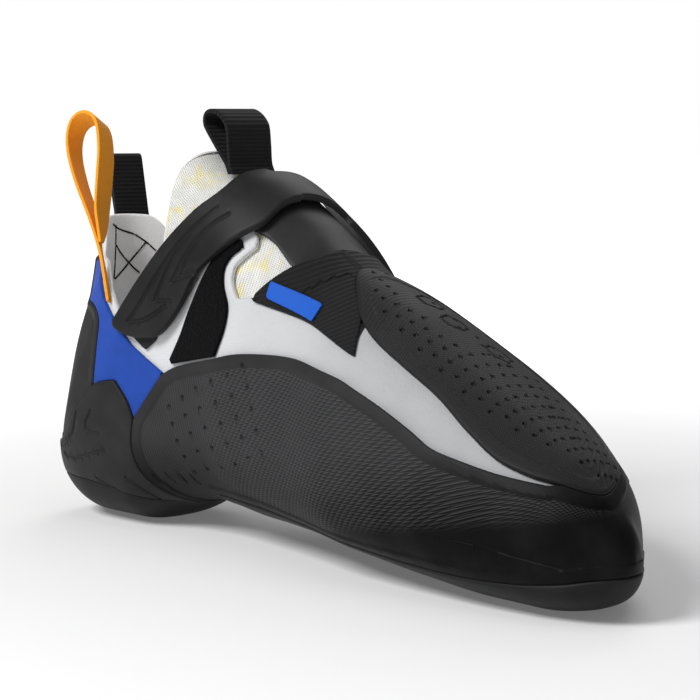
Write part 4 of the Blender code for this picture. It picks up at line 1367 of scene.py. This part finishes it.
@dataclass
class Quarters(SubAssembly):
    """The coloured side panels between heel cup, collar and rand."""

    def build(self) -> None:
        """Makes both panels."""
        curves = (PANEL_TOP, PANEL_FRONT, PANEL_LOW, HEEL_CUP_SLOPE[::-1], HEEL_CUP_PEAK[::-1],
                  PANEL_BACK)
        for side, name, turns in ((Side.INNER, "inner", (-1, 0)), (Side.OUTER, "outer", (0, 1))):
            Layer(f"quarter_{name}", Outline(curves, side), RUBBER - PANEL_THICKNESS, RUBBER,
                  BLUE_SUEDE, (0, 0.6), turns, (f"side_panel_{name}",), 0.4 * MM,
                  cell=1.0 * MM).build()


FLAP_NEAR = (
    (0.400, ABOVE), (0.400, 0.800), (0.433, 0.777), (0.449, 0.760), (0.477, 0.716), (0.500, 0.690),
    (0.560, 0.650), (0.600, ABOVE),
)
FLAP_FAR = (
    (0.360, ABOVE), (0.375, 0.800), (0.400, 0.730), (0.440, 0.690), (0.470, 0.660), (0.560, 0.650),
    (0.600, ABOVE),
)
GORE_ZIGZAG = tuple((0.560 + 0.0044 * k, -0.812 - 0.0175 * k + 0.016 * (k % 2)) for k in range(10))
FLAP_THICKNESS = 1.2 * MM


@dataclass
class Throat(SubAssembly):
    """Tongue, the flap that folds over it, elastic gore and the blank tag."""

    def _flap(self, sheet: Sheet) -> Array:
        """How far inside the flap each point lies: it reaches further down on the far side."""
        skin = sheet.skin()
        near, far = (Outline(tuple(zip(curve, curve[1:] + curve[:1]))).inside(sheet.st, skin)
                     for curve in (FLAP_NEAR, FLAP_FAR))
        return np.where(LAST.wrap(sheet.st[:, 1]) < 0, near, far)

    def build(self) -> None:
        """Makes the pieces that close the throat."""
        low = RUBBER + GAP + UPPER_WALL + GAP
        tongue = Outline((TONGUE_REAR, ((0.290, ABOVE), (0.600, ABOVE)), TONGUE_FRONT, TONGUE_LOW))
        Layer("mesh_tongue", tongue, low, low + TONGUE_THICKNESS, TONGUE_MESH, (0, 0.8), (0.1, 1.9),
              ("tongue",), 0.7 * MM, True).build()
        gore = Outline((GORE_LOW, GORE_FRONT, ((0.524, 0.742), (0.520, ABOVE)),
                        ((0.520, ABOVE), (0.512, ABOVE)), GORE_REAR))
        Layer("elastic_gore", gore, RUBBER - PANEL_THICKNESS, RUBBER, KNIT, (0.3, 0.8), (0.2, 1.8),
              ("gore",), 0.4 * MM).build()
        Layer("throat_flap", self._flap, RUBBER + GAP, RUBBER + GAP + FLAP_THICKNESS, FLAP_CLOTH,
              (0.3, 0.75), (0.2, 1.8), (), 0.4 * MM).build()
        Layer("gore_zigzag", Seam((GORE_ZIGZAG,), 0.5 * MM), RUBBER - PANEL_THICKNESS - 0.25 * MM,
              RUBBER - PANEL_THICKNESS + 0.1 * MM, THREAD, (0.52, 0.66), (1.0, 1.3), (), 0.15 * MM,
              cell=0.9 * MM).build()
        depth = RUBBER - PANEL_THICKNESS - GAP
        Layer("blank_tag", Outline((LABEL[:2], LABEL[1:3], LABEL[2:4], LABEL[3:5]), Side.INNER),
              depth - LABEL_THICKNESS, depth, LABEL_CLOTH, (0.4, 0.7), (-1, 0), ("label_tag",),
              0.2 * MM, cell=0.8 * MM).build()


# Each chevron on the strap: its corner, the end of its long leg and of its short leg
CHEVRON_POINTS = (
    ((0.28, -0.55), (0.40, -0.83), (0.35, -0.60)),
    ((0.32, -0.61), (0.37, -0.78), (0.36, -0.61)),
    ((0.35, -0.65), (0.43, -0.83), (0.40, -0.68)),
    ((0.37, -0.67), (0.39, -0.75), (0.40, -0.69)),
)
CHEVRON_BOW = 0.15
CHEVRON_WIDTH = 0.85 * MM
CHEVRON_DEPTH = 0.7 * MM


def chevrons() -> tuple[Curve, ...]:
    """The scored lines of the strap's chevrons, with their long legs bowed.

    Returns:
        The lines as stations and turns.
    """
    lines = []
    for corner, long_end, short_end in CHEVRON_POINTS:
        bowed = ((corner[0] + long_end[0]) / 2 - CHEVRON_BOW * (long_end[0] - corner[0]),
                 (corner[1] + long_end[1]) / 2)
        middle = tuple((a + b) / 2 for a, b in zip(corner, short_end))
        lines += [(long_end, bowed, corner), (corner, middle, short_end)]
    return tuple(lines)


CHEVRONS = chevrons()


@dataclass
class Closure(SubAssembly):
    """The strap over the instep, its hook pad and the pile patch that it grips."""

    def _strap_shape(self, sheet: Sheet) -> Array:
        """How far inside the strap each point lies: its own outline on each side."""
        skin = sheet.skin()
        sides = ((0.370, ABOVE), (0.440, ABOVE))
        near = Outline((STRAP_UP, sides, STRAP_DOWN)).inside(sheet.st, skin)
        far = Outline((STRAP_FAR_UP, ((0.405, 0.535), (0.480, 0.535)), STRAP_FAR_DOWN,
                       sides[::-1])).inside(sheet.st, skin)
        return np.where(sheet.st[:, 1] > 1, near, far)

    def build(self) -> None:
        """Makes the closure's pieces."""
        depth = RUBBER - PANEL_THICKNESS
        Layer("loop_pile_patch", Outline((PILE_REAR, ((0.386, 0.762), (0.408, 0.762)), PILE_FRONT,
                                          PILE_LOW), Side.INNER),
              depth, RUBBER, LOOP_PILE, (0.2, 0.6), (-1, 0), ("loop_patch",), 0.4 * MM).build()
        Layer("hook_tape", Outline((HOOK_PAD[:2], HOOK_PAD[1:3], HOOK_PAD[2:4], HOOK_PAD[3:5],
                                    HOOK_PAD[4:]), Side.INNER),
              depth, RUBBER, HOOK_PLASTIC, (0.15, 0.5), (-1, 0), ("hook_pad",), 0.3 * MM).build()
        low = depth - GAP
        Layer("rubber_strap", self._strap_shape, low - STRAP_THICKNESS, low, STRAP_RUBBER,
              (0.1, 0.75), (0.2, 1.8), ("strap",), 0.8 * MM, cell=0.9 * MM,
              reliefs=(Groove(CHEVRONS, CHEVRON_WIDTH, CHEVRON_DEPTH, False),)).build()


@dataclass(frozen=True)
class Webbing:
    """A loop of webbing that stands on its base, its hole along turn."""

    name: str
    base: tuple[float, float, float]
    turn: tuple[float, float]
    lean: float
    height: float
    spread: float
    width: float
    look: Finish
    nodes: tuple[str, ...]

    def path(self) -> Array:
        """The loop's middle line as places across and up."""
        radius = (self.spread - WEBBING_THICKNESS) / 2
        neck = 0.55 * WEBBING_THICKNESS
        crown = [(radius * math.cos(a), self.height - self.spread / 2 + radius * math.sin(a))
                 for a in np.linspace(0, math.pi, 9)]
        leg = [(neck, -0.5 * MM), (neck, 0.12 * self.height),
               (0.55 * radius + 0.3 * neck, 0.42 * self.height)]
        return spline(leg + crown + [(-u, v) for u, v in leg[::-1]], 6)

    def build(self) -> bpy.types.Object:
        """Makes the loop from a flat strip.

        Returns:
            The finished object.
        """
        path = self.path()
        along = Vector((*self.turn, 0)).normalized()
        across = Vector((-along.y, along.x, 0))
        rows, columns = len(path) - 1, 10
        bpy.ops.mesh.primitive_grid_add(x_subdivisions=rows, y_subdivisions=columns, size=1)
        made = bpy.context.object
        made.name = made.data.name = self.name
        length = np.r_[0, np.cumsum(np.linalg.norm(np.diff(path, axis=0), axis=1))]
        for vertex in made.data.vertices:
            step = round((vertex.co.x + 0.5) * rows)
            u, v = path[step]
            side = vertex.co.y * self.width
            sag = 0.35 * MM * (1 - (2 * vertex.co.y) ** 2)
            vertex.co = (Vector(self.base) + along * side + across * (u * (1 + sag / MM * 0.06))
                         + Vector((self.lean * v / self.height, 0, v)))
        for corner in made.data.uv_layers[0].data:
            share = corner.uv.copy()
            place = length[min(rows, round(share.x * rows))]
            corner.uv = (place, share.y * self.width)
        solid = made.modifiers.new("thickness", "SOLIDIFY")
        solid.thickness, solid.offset = WEBBING_THICKNESS, 0
        bevel = made.modifiers.new("soft edge", "BEVEL")
        bevel.width, bevel.segments, bevel.limit_method = 0.3 * MM, 2, "ANGLE"
        only(made)
        for modifier in ("thickness", "soft edge"):
            bpy.ops.object.modifier_apply(modifier=modifier)
        return finish_piece(made, self.look, self.nodes, 50)


# The heel loop's front edge in mm, from its sewn tail round the loop and back, and how far
# the ribbon opens there towards LOOP_SPAN
LOOP_ROUTE = (
    (12, -30, 73, 0.2), (9, -29, 81, 0.2), (3, -26, 89, 0.2), (-2, -25.5, 98, 0.8),
    (-10, -25.5, 112, 1), (-13, -25.5, 122, 1), (-11, -25.5, 129, 1), (-5, -25.5, 132, 1),
    (1, -25.5, 130, 1), (3, -25.5, 122, 1), (2, -25.5, 112, 1), (1, -25.5, 102, 0.9),
    (2, -25.5, 96, 0.6), (3, -25.5, 91, 0.2),
)
LOOP_SPAN = (-2, 7.5, -4)
RIBBON_THICKNESS = 0.8 * WEBBING_THICKNESS


@dataclass(frozen=True)
class Ribbon:
    """A ribbon that follows a route and opens and closes along it."""

    name: str
    route: tuple[tuple[float, ...], ...]
    look: Finish
    nodes: tuple[str, ...]
    columns: int = 8

    def build(self) -> bpy.types.Object:
        """Makes the ribbon from a flat strip.

        Returns:
            The finished object.
        """
        path = spline(self.route, 9)
        front = path[:, :3] * MM
        rear = front + path[:, 3:] * np.array(LOOP_SPAN) * MM
        rows = len(path) - 1
        length = np.r_[0, np.cumsum(np.linalg.norm(np.diff(front + rear, axis=0) / 2, axis=1))]
        bpy.ops.mesh.primitive_grid_add(x_subdivisions=rows, y_subdivisions=self.columns, size=1)
        made = bpy.context.object
        made.name = made.data.name = self.name
        for vertex in made.data.vertices:
            row, share = round((vertex.co.x + 0.5) * rows), vertex.co.y + 0.5
            vertex.co = Vector(front[row] * (1 - share) + rear[row] * share)
        for corner in made.data.uv_layers[0].data:
            row = min(rows, round(corner.uv.x * rows))
            width = np.linalg.norm(front[row] - rear[row])
            corner.uv = (length[row], (corner.uv.y - 0.5) * width)
        solid = made.modifiers.new("thickness", "SOLIDIFY")
        solid.thickness, solid.offset = RIBBON_THICKNESS, 0
        bevel = made.modifiers.new("soft edge", "BEVEL")
        bevel.width, bevel.segments, bevel.limit_method = 0.3 * MM, 2, "ANGLE"
        only(made)
        for modifier in ("thickness", "soft edge"):
            bpy.ops.object.modifier_apply(modifier=modifier)
        return finish_piece(made, self.look, self.nodes, 50)


def at(x_share: float, y: float, z_share: float) -> tuple[float, float, float]:
    """A point from shares of length and height, and its y."""
    return ((x_share - HEEL_SPOT) * LENGTH, y, z_share * INSTEP_HEIGHT)


@dataclass
class PullLoops(SubAssembly):
    """The heel loop and its sewn tail, the heel tab and the tongue loop."""

    def build(self) -> None:
        """Makes the webbing."""
        Ribbon("orange_pull_loop", LOOP_ROUTE, ORANGE_WEBBING, ("heel_pull_loop",)).build()
        Webbing("black_heel_tab", at(0.064, 0.20 * HEEL_WIDTH / 2, 0.7875), (0.36, 0.93), -4 * MM,
                20.5 * MM, 4 * MM, 11.5 * MM, BLACK_WEBBING, ("ankle_tab",)).build()
        Webbing("black_tongue_loop", at(0.331, 0, 0.914), (0, 1), -9 * MM, 19.5 * MM, 11 * MM,
                18 * MM, BLACK_WEBBING, ("tongue_loop",)).build()


# Studio

@dataclass
class Studio:
    """Pale floor, soft lights and the camera at the photograph's angle."""

    azimuth: float = 44.542
    elevation: float = 7.25
    distance: float = 0.6399
    focal_pixels: float = 2126.4
    target: tuple[float, float, float] = (0.0881, 0.0, 0.050)
    shift: tuple[float, float] = (0.0047, 0.0513)

    def _direction(self, azimuth: float, elevation: float) -> Vector:
        """The way from the shoe to a place round it, angles in degrees."""
        a, e = math.radians(azimuth), math.radians(elevation)
        return Vector((math.sin(a) * math.cos(e), -math.cos(a) * math.cos(e), math.sin(e)))

    def camera(self) -> None:
        """Adds the camera."""
        data = bpy.data.cameras.new("camera")
        made = bpy.data.objects.new("camera", data)
        bpy.context.scene.collection.objects.link(made)
        back = self._direction(self.azimuth, self.elevation)
        made.location = Vector(self.target) + back * self.distance
        made.rotation_euler = back.to_track_quat("Z", "Y").to_euler()
        data.sensor_width = 36
        data.lens = self.focal_pixels / 700 * 36
        data.shift_x, data.shift_y = self.shift
        data.clip_start, data.clip_end = 0.01, 20
        bpy.context.scene.camera = made

    def lamp(self, name: str, azimuth: float, elevation: float, away: float, size: float,
             watts: float) -> None:
        """Adds a large soft lamp that points at the shoe."""
        data = bpy.data.lights.new(name, "AREA")
        data.shape, data.size, data.size_y, data.energy = "RECTANGLE", size, size, watts
        made = bpy.data.objects.new(name, data)
        bpy.context.scene.collection.objects.link(made)
        way = self._direction(azimuth, elevation)
        made.location = Vector(self.target) + way * away
        made.rotation_euler = way.to_track_quat("Z", "Y").to_euler()

    def floor(self) -> None:
        """Adds the floor as a wide flat disc whose glow grows paler away from the shoe."""
        bpy.ops.mesh.primitive_circle_add(vertices=96, radius=6, fill_type="NGON",
                                          location=(0.1, 0, -0.0002))
        made = bpy.context.object
        made.name = "floor"
        material = bpy.data.materials.new("floor_paper")
        material.use_nodes = True
        shader = material.node_tree.nodes["Principled BSDF"]
        shader.inputs["Base Color"].default_value = (0.80, 0.80, 0.80, 1)
        shader.inputs["Roughness"].default_value = 0.9
        shader.inputs["Specular IOR Level"].default_value = 0.1
        shader.inputs["Emission Strength"].default_value = 1.0
        paint = Paint(material.node_tree)
        far = node(paint.tree, "ShaderNodeVectorMath", {"operation": "LENGTH"}, {0: paint.place}, 1)
        glow = paint.blend(far.rising(0.12, 0.7), (0.13, 0.13, 0.13), (0.9, 0.9, 0.9))
        paint.tree.links.new(glow.socket, shader.inputs["Emission Color"])
        made.data.materials.append(material)

    def build(self) -> None:
        """Sets up floor, lights, air and camera."""
        self.floor()
        self.camera()
        world = bpy.data.worlds.new("air")
        bpy.context.scene.world = world
        world.use_nodes = True
        air = world.node_tree.nodes["Background"]
        air.inputs["Color"].default_value = (1, 1, 1, 1)
        seen = node(world.node_tree, "ShaderNodeLightPath", output="Is Camera Ray")
        world.node_tree.links.new((seen * 0.82 + 0.18).socket, air.inputs["Strength"])
        self.lamp("key", -8, 42, 1.1, 0.42, 11)
        self.lamp("top", 120, 78, 1.0, 0.9, 1.6)
        self.lamp("rim", 205, 40, 1.2, 0.7, 2.6)
        bpy.context.scene.view_settings.view_transform = "Standard"


def main() -> None:
    """Builds the studio, then the shoe from the inside out."""
    logging.basicConfig(level=logging.INFO, format="%(name)s: %(message)s")
    clear_selection()
    Studio().build()
    clear_selection()
    for group in (Upper(), Rubbers(), Quarters(), Throat(), Closure(), PullLoops()):
        log.info("%s", type(group).__name__)
        group.build()


if __name__ == "__main__":
    main()
